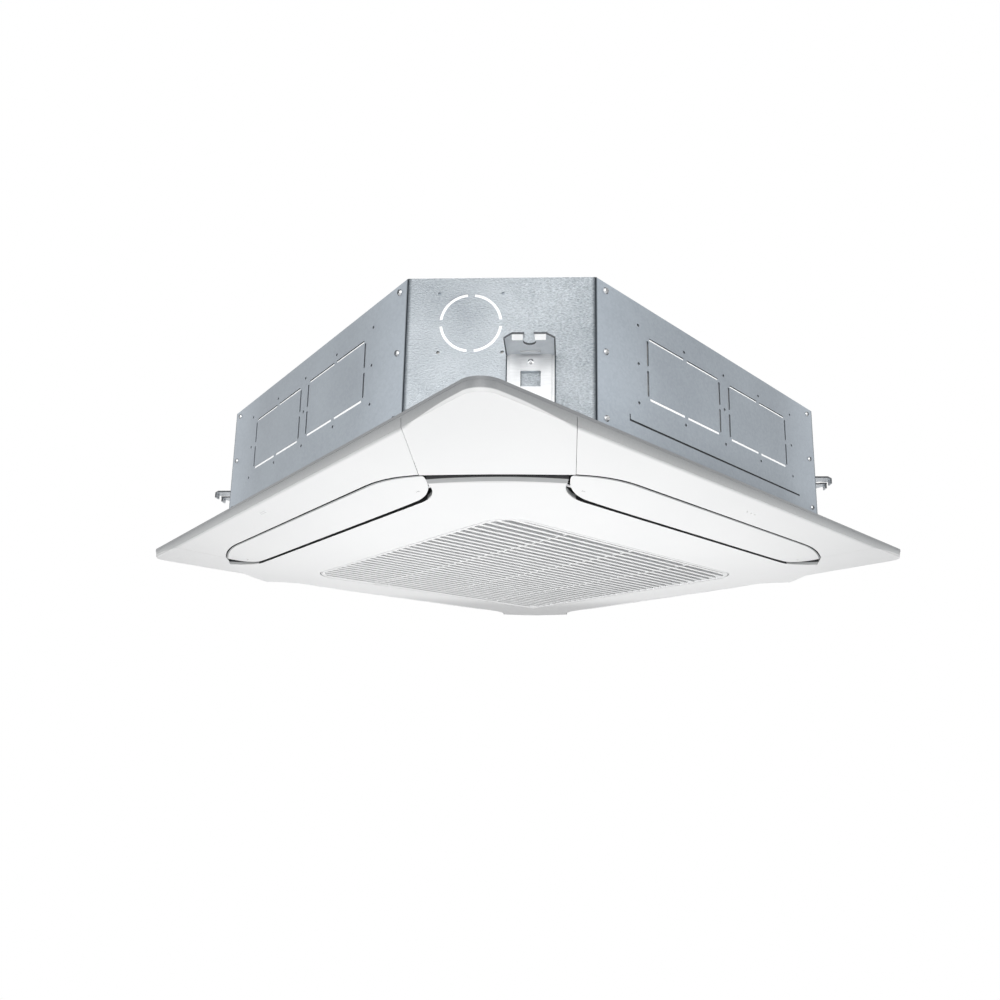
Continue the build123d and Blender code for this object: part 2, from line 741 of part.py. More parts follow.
# ---------------------------------------------------------------- coil
def coil_fins():
    top = CASING_TOP - SHEET - LINER_PAD
    ring = rounded(COIL_OUT, COIL_CORNER) - rounded(COIL_OUT - COIL_THICK, COIL_CORNER - COIL_THICK)
    fins = slab(ring, TROUGH_FLOOR, top)
    fins = fins - block(-COIL_OUT - 1, -COIL_GAP, COIL_GAP, COIL_OUT + 1, TROUGH_FLOOR - 1, top + 1)
    reach = COIL_GAP - COIL_CORNER / 2
    rows = int((top - TROUGH_FLOOR) / TUBE_PITCH)
    half = COIL_GROOVE / 2
    for row in range(1, rows):
        z = TROUGH_FLOOR + row * TUBE_PITCH
        inner = COIL_OUT - COIL_THICK
        for angle in SIDES.values():
            groove = block(-reach, reach, -inner - COIL_GROOVE_DEPTH, -inner + 1, z - half, z + half)
            fins = fins - turned(groove, angle)
    return fins


def coil_end_plates():
    """The two tube sheets at the open corner of the coil."""
    top = CASING_TOP - SHEET - LINER_PAD
    low = COIL_OUT - COIL_THICK - END_PLATE_EDGE
    high = COIL_OUT + END_PLATE_EDGE
    first = block(-high, -low, COIL_GAP, COIL_GAP + END_PLATE, TROUGH_FLOOR, top)
    second = block(-COIL_GAP - END_PLATE, -COIL_GAP, low, high, TROUGH_FLOOR, top)
    middle = COIL_OUT - COIL_THICK / 2
    second = second - [rod_x(GAS_RADIUS + SEAT, -COIL_GAP - PIPE_LEAD, -COIL_GAP + 1, middle, GAS_Z)]
    second = second - [rod_x(LIQUID_RADIUS + SEAT, -COIL_GAP - PIPE_LEAD, -COIL_GAP + 1, middle, LIQUID_Z)]
    return first, second


def return_bends():
    """U-shaped tube ends on the first tube sheet."""
    bends = []
    x = -(COIL_OUT - COIL_THICK / 2)
    y = COIL_GAP + END_PLATE
    for step in range(BEND_COUNT):
        z = TROUGH_FLOOR + TUBE_PITCH + step * 2 * TUBE_PITCH
        low = z - BEND_RADIUS
        high = z + BEND_RADIUS
        leg = y + BEND_LEG
        turn = ThreePointArc((x, leg, low), (x, leg + BEND_RADIUS, z), (x, leg, high))
        path = Line((x, y, low), (x, leg, low)) + turn + Line((x, leg, high), (x, y, high))
        start = Plane(origin=(x, y, low), z_dir=(0, 1, 0))
        bends.append(sweep(start * Circle(BEND_TUBE), path=path))
    return bends


def pipe_exit_side():
    """Where the pipes cross the far corner plate, in the corner frame."""
    x = COIL_GAP + PIPE_LEAD
    y = COIL_OUT - COIL_THICK / 2
    return (x - y) / ROOT2


def coil_pipe(radius, z):
    """A pipe from the second tube sheet out through the far corner."""
    y = COIL_OUT - COIL_THICK / 2
    x = -COIL_GAP - PIPE_LEAD
    start = Vector(-COIL_GAP, y, z)
    bend = Vector(x, y, z)
    out = DIAGONAL + PIPE_PAST - (-x + y) / ROOT2
    end = bend + Vector(-out / ROOT2, out / ROOT2, 0)
    lead = PIPE_LEAD / 2
    before = bend + Vector(lead, 0, 0)
    after = bend + Vector(-lead / ROOT2, lead / ROOT2, 0)
    path = Line(start, before) + TangentArc(before, after, tangent=(-1, 0, 0)) + Line(after, end)
    plan = Plane(origin=start, z_dir=(-1, 0, 0))
    return sweep(plan * (Circle(radius) - Circle(radius - PIPE_WALL)), path=path)


def flare_union(radius, z, thread):
    """Hexagon and threaded end on a pipe."""
    side = pipe_exit_side()
    x0 = DIAGONAL + PIPE_PAST
    plan = Plane.YZ.offset(x0) * Pos(side, z) * RegularPolygon(thread + UNION_HEX_GROW, 6)
    hexagon = extrude(plan, UNION_HEX)
    male = rod_x(thread, x0 + UNION_HEX, x0 + UNION_HEX + UNION_THREAD_LENGTH, side, z)
    bore = rod_x(radius - PIPE_WALL, x0 - 1, x0 + UNION_HEX + UNION_THREAD_LENGTH + 1, side, z)
    return turned(hexagon + male - bore, CORNERS["far"])


def drain_outlet():
    """Drain spigot with its collar, inner chamber and the tube from the pump."""
    inner = DIAGONAL - SHEET * 2 - SEAT - LINER_WALL
    half = DRAIN_BOX / 2
    chamber = block(inner - DRAIN_DEPTH, inner, DRAIN_SIDE - half, DRAIN_SIDE + half,
                    DRAIN_Z - DRAIN_BOX_HEIGHT / 2, DRAIN_Z + DRAIN_BOX_HEIGHT / 2)
    neck = rod_x(DRAIN_NECK, inner, DIAGONAL, DRAIN_SIDE, DRAIN_Z)
    collar = rod_x(DRAIN_COLLAR, DIAGONAL, DIAGONAL + DRAIN_COLLAR_THICK, DRAIN_SIDE, DRAIN_Z)
    spigot = rod_x(DRAIN_RADIUS, DIAGONAL, DIAGONAL + DRAIN_PAST, DRAIN_SIDE, DRAIN_Z)
    y0 = DRAIN_SIDE + half
    y1 = PUMP_SIDE - PUMP_HEAD / 2
    tube = rod_y(HOSE_RADIUS, y0, y1, PUMP_DIAG, DRAIN_Z)
    hose_bore = rod_y(HOSE_BORE, y0 - half, y1 + 1, PUMP_DIAG, DRAIN_Z)
    bore = rod_x(DRAIN_BORE, inner - DRAIN_DEPTH / 2, DIAGONAL + DRAIN_PAST + 1, DRAIN_SIDE, DRAIN_Z)
    return turned(chamber + neck + collar + spigot + tube - bore - hose_bore, CORNERS["far"])


def drain_pump():
    body = rod(PUMP_RADIUS, SUMP_FLOOR, PUMP_HEAD_LOW, PUMP_DIAG, PUMP_SIDE)
    half = PUMP_HEAD / 2
    x = PUMP_DIAG
    head = block(x - half, x + half, PUMP_SIDE - half, PUMP_SIDE + half, PUMP_HEAD_LOW, PUMP_HEAD_TOP)
    return turned(body + head, CORNERS["far"])


def float_stem():
    low = TROUGH_FLOOR
    top = low + FLOAT_PLATE + FLOAT_HEIGHT + FLOAT_TRAVEL
    stem = rod(FLOAT_STEM, low, top, FLOAT_DIAG, FLOAT_SIDE)
    foot = rod(FLOAT_RADIUS, low, low + FLOAT_PLATE, FLOAT_DIAG, FLOAT_SIDE)
    stop = rod(FLOAT_STOP, top, top + FLOAT_PLATE, FLOAT_DIAG, FLOAT_SIDE)
    return turned(stem + foot + stop, CORNERS["far"])


def float_ring():
    low = TROUGH_FLOOR + FLOAT_PLATE
    ring = rod(FLOAT_RADIUS, low, low + FLOAT_HEIGHT, FLOAT_DIAG, FLOAT_SIDE)
    ring = ring - rod(FLOAT_STEM + FLOAT_FIT, low - 1, low + FLOAT_HEIGHT + 1, FLOAT_DIAG, FLOAT_SIDE)
    return turned(ring, CORNERS["far"])


# ---------------------------------------------------------------- fan and motor
def motor_mount():
    """Round plate under the casing top, open between the bushes."""
    top = CASING_TOP - SHEET
    plan = Circle(MOUNT_RADIUS)
    for step in range(BUSH_COUNT):
        angle = step * SIDE_TURN + CORNER_ANGLE
        plan = plan - Rot(0, 0, angle) * Pos(MOUNT_WINDOW_CIRCLE, 0) * Circle(MOUNT_WINDOW)
    return slab(plan, top - MOUNT_PLATE, top)


def motor_bushes():
    top = CASING_TOP - SHEET - MOUNT_PLATE
    bushes = []
    for step in range(BUSH_COUNT):
        bush = rod(BUSH_RADIUS, MOTOR_HIGH + MOTOR_FLANGE_THICK, top, BUSH_CIRCLE)
        bushes.append(turned(bush, step * SIDE_TURN))
    return bushes


def fan_motor():
    body = rod(MOTOR_RADIUS, MOTOR_LOW, MOTOR_HIGH)
    body = fillet(body.edges().group_by(Axis.Z)[0], MOTOR_FIN * 2)
    body = body + rod(MOTOR_FLANGE, MOTOR_HIGH, MOTOR_HIGH + MOTOR_FLANGE_THICK)
    body = body + rod(MOTOR_BOSS, MOTOR_LOW - MOTOR_BOSS_DROP, MOTOR_LOW)
    for step in range(MOTOR_FIN_COUNT):
        fin = block(MOTOR_RADIUS - MOTOR_FIN, MOTOR_RADIUS + MOTOR_FIN, -MOTOR_FIN / 2, MOTOR_FIN / 2,
                    MOTOR_LOW + MOTOR_FIN * 4, MOTOR_HIGH)
        body = body + turned(fin, step * 2 * SIDE_TURN * 2 / MOTOR_FIN_COUNT)
    bore = rod(SHAFT_RADIUS + SHAFT_FIT, MOTOR_LOW - MOTOR_BOSS_DROP - 1, MOTOR_LOW + SHAFT_IN_MOTOR + 1)
    return body - bore


def motor_shaft():
    shaft = rod(SHAFT_RADIUS, SHAFT_LOW, MOTOR_LOW + SHAFT_IN_MOTOR)
    return chamfer(shaft.edges().group_by(Axis.Z)[0], 1)


def fan_shell(points):
    """A body of revolution from radius and height pairs."""
    face = make_face(Polyline(*points, close=True))
    return revolve(Plane.XZ * face, axis=Axis.Z)


def shroud_curve():
    """Radius and height pairs of the shroud, inlet first."""
    steps = 5
    points = []
    for step in range(steps + 1):
        part = step / steps
        radius = FAN_INLET + (FAN_RADIUS - FAN_INLET) * part
        height = FAN_INLET_Z + (FAN_SHROUD_Z - FAN_INLET_Z) * sin(radians(part * SIDE_TURN))
        points.append((radius, height))
    return points


def plate_curve():
    """Radius and height pairs of the back plate, hub first."""
    cone = [(FAN_BOSS, FAN_CONE_Z), (FAN_CONE_LOW, FAN_CONE_Z), (FAN_CONE_TOP, FAN_PLATE_Z)]
    return cone + [(FAN_RADIUS, FAN_PLATE_Z)]


def lifted(points, rise):
    return [(radius, height + rise) for radius, height in points]


def fan_blade():
    """One backward-curved blade, cut to the space between plate and shroud."""
    tip = FAN_RADIUS - 1
    end = Vector(tip, 0).rotate(Axis.Z, -BLADE_SWEEP)
    middle = Vector((BLADE_START + tip) / 2 + BLADE_BOW, 0).rotate(Axis.Z, -BLADE_SWEEP / 2)
    line = ThreePointArc((BLADE_START, 0), (middle.X, middle.Y), (end.X, end.Y))
    plan = trace(line, BLADE_THICK)
    blank = slab(plan, FAN_INLET_Z - 1, FAN_PLATE_Z + FAN_SKIN)
    low = lifted(shroud_curve(), FAN_SKIN / 2)
    high = lifted(plate_curve()[1:], FAN_SKIN / 2)
    start = (BLADE_START - 1, BELL_TOP + BLADE_CLEAR)
    over = (FAN_INLET - 1, BELL_TOP + 2 * BELL_SKIN)
    space = fan_shell([start, over] + low + high[::-1])
    return blank & space


def turbo_fan():
    skirt = shroud_curve()
    shroud = fan_shell(skirt + lifted(skirt, FAN_SKIN)[::-1])
    collar_top = FAN_INLET_Z + FAN_SKIN
    shroud = shroud + (rod(FAN_INLET + FAN_SKIN, FAN_INLET_Z - FAN_SKIN * 2, collar_top)
                       - rod(FAN_INLET, FAN_INLET_Z - FAN_SKIN * 2 - 1, collar_top + 1))
    back = plate_curve()
    plate = fan_shell(back + lifted(back, FAN_SKIN)[::-1])
    boss = rod(FAN_BOSS + 1, FAN_BOSS_LOW, FAN_CONE_Z + FAN_SKIN * 3)
    wheel = shroud + plate + boss
    blade = fan_blade()
    for step in range(FAN_BLADES):
        wheel = wheel + turned(blade, step * 4 * SIDE_TURN / FAN_BLADES)
    return wheel - rod(SHAFT_RADIUS, FAN_BOSS_LOW - 1, MOTOR_LOW)


def fan_nut():
    """Flanged hexagon nut under the hub."""
    high = FAN_BOSS_LOW - WASHER_THICK
    nut = slab(RegularPolygon(NUT_RADIUS, 6), high - NUT_HEIGHT, high)
    nut = nut + rod(WASHER_RADIUS, high, FAN_BOSS_LOW)
    return nut - rod(SHAFT_RADIUS, high - NUT_HEIGHT - 1, FAN_BOSS_LOW + 1)


def bell_mouth():
    """Intake ring: a plate with a flared throat that stands into the fan."""
    plan = rounded(BELL_HALF, BELL_CORNER) - Circle(BELL_MOUTH)
    plate = slab(plan, CASING_BOTTOM - BELL_PLATE, CASING_BOTTOM)
    steps = 7
    low = CASING_BOTTOM - BELL_PLATE
    outer = []
    inner = []
    for step in range(steps + 1):
        turn = radians(step * SIDE_TURN / steps)
        radius = BELL_MOUTH - (BELL_MOUTH - BELL_THROAT) * sin(turn)
        height = low + (BELL_TOP - low) * (1 - cos(turn))
        inner.append((radius, height))
        outer.append((radius + BELL_SKIN, height + BELL_SKIN * cos(turn)))
    return plate + fan_shell(inner + outer[::-1])


# ---------------------------------------------------------------- control box
def control_box():
    top = CASING_BOTTOM - BELL_PLATE
    tray = block(-BOX_HALF, BOX_HALF, -BOX_FAR, -BOX_NEAR, top - BOX_DROP, top)
    inside = block(-BOX_HALF + BOX_WALL, BOX_HALF - BOX_WALL, -BOX_FAR + BOX_WALL, -BOX_NEAR - BOX_WALL,
                   top - BOX_DROP - 1, top - BOX_WALL)
    return tray - inside


def control_cover():
    low = CASING_BOTTOM - BELL_PLATE - BOX_DROP
    cover = block(-BOX_HALF, BOX_HALF, -BOX_FAR, -BOX_NEAR, low - BOX_LIP, low)
    return cover


def control_board():
    """Circuit board on four posts, with its larger parts."""
    top = CASING_BOTTOM - BELL_PLATE - BOX_WALL
    high = top - BOARD_GAP
    low = high - BOARD_THICK
    edge = BOX_WALL * 4
    board = block(-BOX_HALF + edge, BOX_HALF - edge, -BOX_FAR + edge, -BOX_NEAR - edge, low, high)
    middle = -(BOX_FAR + BOX_NEAR) / 2
    for across in (-1, 1):
        post = rod(BOX_WALL * 2, high, top, across * (BOX_HALF - edge * 3), middle)
        board = board + post
    for step in range(-2, 3):
        x = step * BOX_HALF / 3
        wide = BOX_WALL * (4 + step % 3 * 2)
        drop = CHIP_HEIGHT + step % 2 * 3
        board = board + block(x - wide, x + wide, middle - edge, middle + edge, low - drop, low)
    return board


# ---------------------------------------------------------------- panel surfaces
def rim_solid(inset):
    """The outer rim, from the ceiling down to where the border begins."""
    half = PANEL_HALF - inset
    high = rounded(half, PANEL_CORNER - inset)
    low = rounded(half - RIM_TAPER, PANEL_CORNER - inset - RIM_TAPER)
    return loft([high, Pos(0, 0, -RIM_HEIGHT + inset) * low], ruled=True)


def border_solid(inset):
    """The falling underside: flat on the four sides and rounded at the corners."""
    half = PANEL_HALF - RIM_TAPER - inset
    run = PANEL_HALF - RIM_TAPER - RING_EDGE
    corner = PANEL_CORNER - RIM_TAPER - inset
    high = rounded(half, corner)
    low = rounded(half - run, corner + ROUNDING * run)
    top = -RIM_HEIGHT + inset
    return loft([Pos(0, 0, top) * high, Pos(0, 0, top - SLOPE * run) * low], ruled=True)


def panel_body(inset):
    """Rim and border together, moved in by inset."""
    return rim_solid(inset) + border_solid(inset)


def ring_slope(lift):
    """Shallow fall of the centre ring, as a body below the ceiling."""
    fall = (RING_EDGE_Z - PANEL_DEPTH) / (RING_EDGE - GRILLE_HALF)
    reach = PANEL_HALF - GRILLE_HALF
    high = rounded(PANEL_HALF, 1)
    low = rounded(GRILLE_HALF, 1)
    z_low = PANEL_DEPTH + lift
    pyramid = loft([Pos(0, 0, z_low + fall * reach) * high, Pos(0, 0, z_low) * low], ruled=True)
    return pyramid + slab(rounded(PANEL_HALF, 1), z_low + fall * reach, 0)


# ---------------------------------------------------------------- plans of vanes, covers and ring
def vane_plan(out, inside):
    """Leaf-shaped plan of the front vane, grown by out on the outer edge and inside on the inner one."""
    r_out = VANE_OUT_RADIUS + out
    r_in = VANE_IN_RADIUS + inside
    y_out = -VANE_OUT - out
    y_in = -VANE_IN + inside
    out_centre = -VANE_OUT + VANE_OUT_RADIUS
    in_centre = -VANE_IN - VANE_IN_RADIUS
    tip = VANE_TIP + (out + inside) / 2
    tip_out = out_centre - sqrt(r_out ** 2 - (tip - VANE_OUT_STRAIGHT) ** 2)
    tip_in = in_centre + sqrt(r_in ** 2 - (tip - VANE_IN_STRAIGHT) ** 2)
    bend = (VANE_OUT_STRAIGHT + tip) / 2
    bend_out = out_centre - sqrt(r_out ** 2 - (bend - VANE_OUT_STRAIGHT) ** 2)
    turn = (VANE_IN_STRAIGHT + tip) / 2
    turn_in = in_centre + sqrt(r_in ** 2 - (turn - VANE_IN_STRAIGHT) ** 2)
    edges = Line((-VANE_OUT_STRAIGHT, y_out), (VANE_OUT_STRAIGHT, y_out))
    edges = edges + ThreePointArc((VANE_OUT_STRAIGHT, y_out), (bend, bend_out), (tip, tip_out))
    edges = edges + Line((tip, tip_out), (tip, tip_in))
    edges = edges + ThreePointArc((tip, tip_in), (turn, turn_in), (VANE_IN_STRAIGHT, y_in))
    edges = edges + Line((VANE_IN_STRAIGHT, y_in), (-VANE_IN_STRAIGHT, y_in))
    edges = edges + ThreePointArc((-VANE_IN_STRAIGHT, y_in), (-turn, turn_in), (-tip, tip_in))
    edges = edges + Line((-tip, tip_in), (-tip, tip_out))
    edges = edges + ThreePointArc((-tip, tip_out), (-bend, bend_out), (-VANE_OUT_STRAIGHT, y_out))
    return make_face(edges)


def arc_disc(grow):
    """Disc whose edge is the arc at the inner end of a corner cover, in the corner frame."""
    rise = COVER_ARC - COVER_TIP
    radius = (COVER_HALF ** 2 + rise ** 2) / (2 * rise)
    return Pos(COVER_ARC - radius, 0) * Circle(radius + grow)


def cover_plan(inset):
    """Plan of a corner cover in the corner frame, moved in by inset."""
    half = COVER_HALF - inset
    band = Pos(COVER_ARC + PANEL_HALF / 4, 0) * Rectangle(PANEL_HALF, 2 * half)
    return band - arc_disc(inset)


def ring_plan(grow):
    """Plan of the centre ring with its four pointed corners, without the vane openings."""
    plan = rounded(VANE_OUT - GAP_OUT, 1)
    for angle in CORNERS.values():
        band = Pos(COVER_ARC + COVER_HALF, 0) * Rectangle(4 * COVER_HALF, 3 * COVER_HALF)
        outside = band - arc_disc(grow)
        plan = plan - Rot(0, 0, angle) * outside
    for angle in SIDES.values():
        plan = plan - turned(vane_plan(GAP_OUT, GAP_IN), angle)
        side = Pos(0, -VANE_OUT) * Rectangle(2 * VANE_TIP, (VANE_OUT - VANE_IN) / 2)
        plan = plan - turned(side, angle)
    return plan


# ---------------------------------------------------------------- panel frame
def ring_solid(shrink, lift):
    """The centre ring as a body up to the deck, or its hollow when shrunk and lifted."""
    plan = ring_plan(-CENTRE_GAP - shrink)
    body = slab(plan, PANEL_DEPTH - SKIN, DECK_TOP - DECK_THICK)
    return body & ring_slope(lift)


def ring_bevel():
    """Cutter for the slanted edge of the ring along a corner arc, in the corner frame."""
    rise = COVER_ARC - COVER_TIP
    radius = (COVER_HALF ** 2 + rise ** 2) / (2 * rise)
    edge = radius - CENTRE_GAP
    low = PANEL_DEPTH - SKIN
    start = RING_EDGE_Z - 1
    slant = RING_BEVEL_DEPTH / RING_BEVEL
    past = 4 * SKIN
    high = start + slant * (RING_BEVEL + past)
    points = [(edge - RING_BEVEL, low), (edge - RING_BEVEL, start), (edge + past, high), (edge + past, low)]
    wedge = Pos(COVER_ARC - radius, 0, 0) * fan_shell(points)
    reach = COVER_HALF
    return wedge & block(COVER_ARC - reach, COVER_ARC + reach, -reach, reach, low, 0)


def recess_plan(grow):
    """Plan of the recess behind a corner cover, in the corner frame."""
    half = COVER_HALF + grow
    band = Pos(COVER_ARC + PANEL_HALF / 4, 0) * Rectangle(PANEL_HALF, 2 * half)
    return band - arc_disc(-CENTRE_GAP - grow)


def deck():
    """Flat plate under the casing, with the four air outlets and the corner areas."""
    low = DECK_TOP - DECK_THICK
    plan = rounded(DECK_OUT, DECK_CORNER) - rounded(DECK_IN, DECK_CORNER)
    for angle in CORNERS.values():
        reach = PANEL_HALF * ROOT2 - DECK_START
        corner = Pos(DECK_START + reach / 2, 0) * Rectangle(reach, 2 * DECK_HALF)
        plan = plan + Rot(0, 0, angle) * corner
    for angle in SIDES.values():
        plan = plan - turned(outlet_plan(1), angle)
    return slab(plan, low, DECK_TOP)


def frame_walls():
    """Upright walls round the vane openings, the grille opening and the corner recesses."""
    low = PANEL_DEPTH - SKIN
    walls = []
    for angle in SIDES.values():
        ring = vane_plan(GAP_OUT + WALL, GAP_IN + WALL) - vane_plan(GAP_OUT, GAP_IN)
        walls.append(turned(slab(ring, low, DECK_TOP), angle))
    for angle in CORNERS.values():
        ring = recess_plan(WALL) - recess_plan(0)
        walls.append(turned(slab(ring, low, DECK_TOP), angle))
    opening = GRILLE_HALF + GRILLE_GAP
    corner = GRILLE_CORNER + GRILLE_GAP
    ring = rounded(opening + WALL, corner + WALL) - rounded(opening, corner)
    walls.append(slab(ring, low, DECK_TOP))
    return walls


def frame_ribs():
    """Stiffening ribs across the border and the centre ring."""
    ribs = []
    low = PANEL_DEPTH - SKIN
    border_low = -VANE_OUT - GAP_OUT
    for angle in SIDES.values():
        for step in range(-RING_RIBS // 2, RING_RIBS // 2 + 1):
            x = (step + 1 / 2) * RING_RIB_STEP
            ring_low = -GRILLE_HALF - GRILLE_GAP
            rib = block(x - WALL / 2, x + WALL / 2, -VANE_IN + GAP_IN, ring_low, low, RING_RIB_TOP)
            edge = block(x - WALL / 2, x + WALL / 2, -PANEL_HALF + SKIN / 2, border_low, low, -SKIN)
            ribs.append(turned(rib + edge, angle))
    return ribs


def pivot_bosses():
    """Bearings of one vane, outside the ends of its opening."""
    bosses = []
    for side in (-1, 1):
        x0 = side * PIVOT_EAR_AT
        x1 = side * PIVOT_BOSS_END
        bosses.append(rod_x(PIVOT_BOSS, min(x0, x1), max(x0, x1), -PIVOT_OUT, PIVOT_Z))
    return bosses


def frame_cuts():
    """Everything that is open in the panel frame."""
    low = PANEL_DEPTH - 2 * SKIN
    under = DECK_TOP - DECK_THICK
    cuts = []
    for angle in SIDES.values():
        cuts.append(turned(slab(vane_plan(GAP_OUT, GAP_IN), low, under), angle))
        reach = PIVOT_BOSS_END + 1
        bore = rod_x(PIVOT_RADIUS + PIVOT_FIT, -reach, reach, -PIVOT_OUT, PIVOT_Z)
        cuts.append(turned(bore, angle))
    for name, angle in CORNERS.items():
        cuts.append(turned(slab(recess_plan(0), low, COVER_TOP), angle))
        cuts.append(turned(ring_bevel(), angle))
        centre = CORNER_SIGN[name] * (HANGER_PITCH_X - HANGER_PITCH_Y) / 2 / ROOT2
        cuts.append(turned(rod(PANEL_SCREW_HOLE, under - 1, DECK_TOP + 1, PANEL_SCREW_DIAG, centre), angle))
    opening = GRILLE_HALF + GRILLE_GAP
    cuts.append(slab(rounded(opening, GRILLE_CORNER + GRILLE_GAP), low, SKIN))
    cuts.append(rod_y(HINGE_PIN + HINGE_FIT, -HINGE_BOSS_END - 1, HINGE_BOSS_END + 1, HINGE_X, HINGE_Z))
    for step in range(LAMP_COUNT):
        cuts.append(rod(LAMP_RADIUS, low, -SKIN, LAMP_AT, LAMP_FIRST + step * LAMP_STEP))
    cuts.append(window_block(0, 0))
    return cuts


def window_block(shrink, grow):
    """Upright block with the plan of the receiver window."""
    x = WINDOW_LENGTH / 2 - shrink + grow
    y = WINDOW_WIDTH / 2 - shrink + grow
    return block(WINDOW_X - x, WINDOW_X + x, -WINDOW_OUT - y, -WINDOW_OUT + y, PANEL_DEPTH, -SKIN)


def panel_frame():
    body = panel_body(0)
    hollow = panel_body(SKIN) + slab(rounded(PANEL_HALF - SKIN - RIM_TAPER, PANEL_CORNER), -SKIN - 1, SKIN)
    ring = ring_solid(0, 0)
    shell = body + ring
    shell = shell - hollow - ring_solid(SKIN, SKIN)
    band = rounded(PANEL_HALF, PANEL_CORNER) - rounded(PANEL_HALF - CEILING_BAND, PANEL_CORNER)
    inside = joined([deck()] + frame_walls() + frame_ribs())
    frame = shell + slab(band, -SKIN, 0) + (inside & (body + ring))
    for angle in SIDES.values():
        frame = frame + [turned(boss, angle) for boss in pivot_bosses()]
    for side in (-1, 1):
        y0 = side * (GRILLE_HALF - SKIN)
        y1 = side * HINGE_BOSS_END
        frame = frame + rod_y(HINGE_BOSS, min(y0, y1), max(y0, y1), HINGE_X, HINGE_Z)
    return frame - frame_cuts()


def corner_cover(name):
    block_out = slab(cover_plan(COVER_SEAM), PANEL_DEPTH, COVER_TOP)
    block_in = slab(cover_plan(COVER_SEAM + COVER_WALL), PANEL_DEPTH, SKIN)
    outer = panel_body(0) & turned(block_out, CORNERS[name])
    inner = panel_body(SKIN) & turned(block_in, CORNERS[name])
    return outer - inner


def vane(angle):
    """One louvre with its two ears and pins."""
    plan = slab(vane_plan(0, 0), PANEL_DEPTH - SKIN, 0)
    body = panel_body(0)
    leaf = (body - panel_body(VANE_THICK)) & plan
    ribs = []
    for step in range(-(VANE_RIB_COUNT // 2), VANE_RIB_COUNT // 2 + 1):
        x = step * VANE_RIB_STEP - VANE_RIB / 2
        high = PIVOT_Z + VANE_RIB_HEIGHT
        x1 = x + VANE_RIB
        ribs.append(block(x, x1, -VANE_RIB_OUT, -VANE_RIB_IN, PANEL_DEPTH, high))
    leaf = leaf + (joined(ribs) & body)
    for side in (-1, 1):
        x0 = side * PIVOT_EAR_AT
        x1 = x0 + side * PIVOT_EAR
        x2 = side * PIVOT_PIN_END
        low = min(x0, x1)
        high = max(x0, x1)
        ear = block(low, high, -PIVOT_OUT - PIVOT_EAR_RADIUS, -PIVOT_OUT + PIVOT_EAR_RADIUS,
                    PIVOT_Z - PIVOT_EAR_RADIUS, PIVOT_Z)
        leaf = leaf + ear + rod_x(PIVOT_EAR_RADIUS, low, high, -PIVOT_OUT, PIVOT_Z)
        leaf = leaf + rod_x(PIVOT_RADIUS, min(x0, x2), max(x0, x2), -PIVOT_OUT, PIVOT_Z)
    run = PANEL_HALF - RIM_TAPER - VANE_IN
    z = -RIM_HEIGHT - SLOPE * run
    edge = Plane.YZ * make_face(Polyline((-VANE_IN - VANE_BEVEL, z - 1), (-VANE_IN + 1, z - 1),
                                         (-VANE_IN + 1, z + VANE_BEVEL), (-VANE_IN, z + VANE_BEVEL),
                                         (-VANE_IN - VANE_BEVEL, z), close=True))
    leaf = leaf - extrude(edge, VANE_TIP, both=True)
    return turned(leaf, angle)


def vane_motor(angle):
    """Stepper motor at one end of a vane, with its output bore on the vane's axis."""
    x0 = PIVOT_BOSS_END
    y = -PIVOT_OUT + STEPPER_IN
    z = PIVOT_Z + STEPPER_UP
    body = rod_x(STEPPER_RADIUS, x0, x0 + STEPPER_LENGTH, y, z)
    body = body + rod_x(STEPPER_BOSS, x0, x0 + STEPPER_BORE_DEPTH + 1, -PIVOT_OUT, PIVOT_Z)
    half = STEPPER_EAR_HALF
    body = body + block(x0, x0 + STEPPER_PLATE, y, y + STEPPER_EAR, z - half, z + half)
    body = body + block(x0, x0 + STEPPER_PLATE, y - half, y + half, z, z + STEPPER_EAR)
    body = body - rod_x(PIVOT_RADIUS + PIVOT_FIT, x0 - 1, x0 + STEPPER_BORE_DEPTH, -PIVOT_OUT, PIVOT_Z)
    return turned(body, angle)


# ---------------------------------------------------------------- intake grille and filter
def slat_face():
    """Cross-section of one slat, widest at the face."""
    half = SLAT_WIDTH / 2
    top = SLAT_TOP_WIDTH / 2
    soft = (half - top) / 2
    low = PANEL_DEPTH
    high = low + SLAT_HEIGHT
    left = [(-top, high), (-half, low + soft), (-half + soft, low)]
    right = [(half - soft, low), (half, low + soft), (top, high)]
    return make_face(Polyline(*left, *right, close=True))


def slats():
    """All the slats, trimmed to the rim."""
    row = []
    face = Plane.XZ * slat_face()
    reach = GRILLE_HALF - GRILLE_RIM / 2
    blank = extrude(face, reach, both=True)
    for step in range(SLAT_COUNT):
        row.append(Pos((step - (SLAT_COUNT - 1) / 2) * SLAT_PITCH, 0, 0) * blank)
    trim = slab(rounded(reach, GRILLE_CORNER - GRILLE_RIM / 2), PANEL_DEPTH - 1, 0)
    return [slat & trim for slat in row]


def latch_pocket(side, grow, low, high):
    """Block round a latch, grown by grow on every side."""
    y = side * LATCH_SIDE
    half = LATCH_HALF + grow
    return block(-LATCH_OUT - grow, -LATCH_IN + LATCH_TRAVEL + grow, y - half, y + half, low, high)


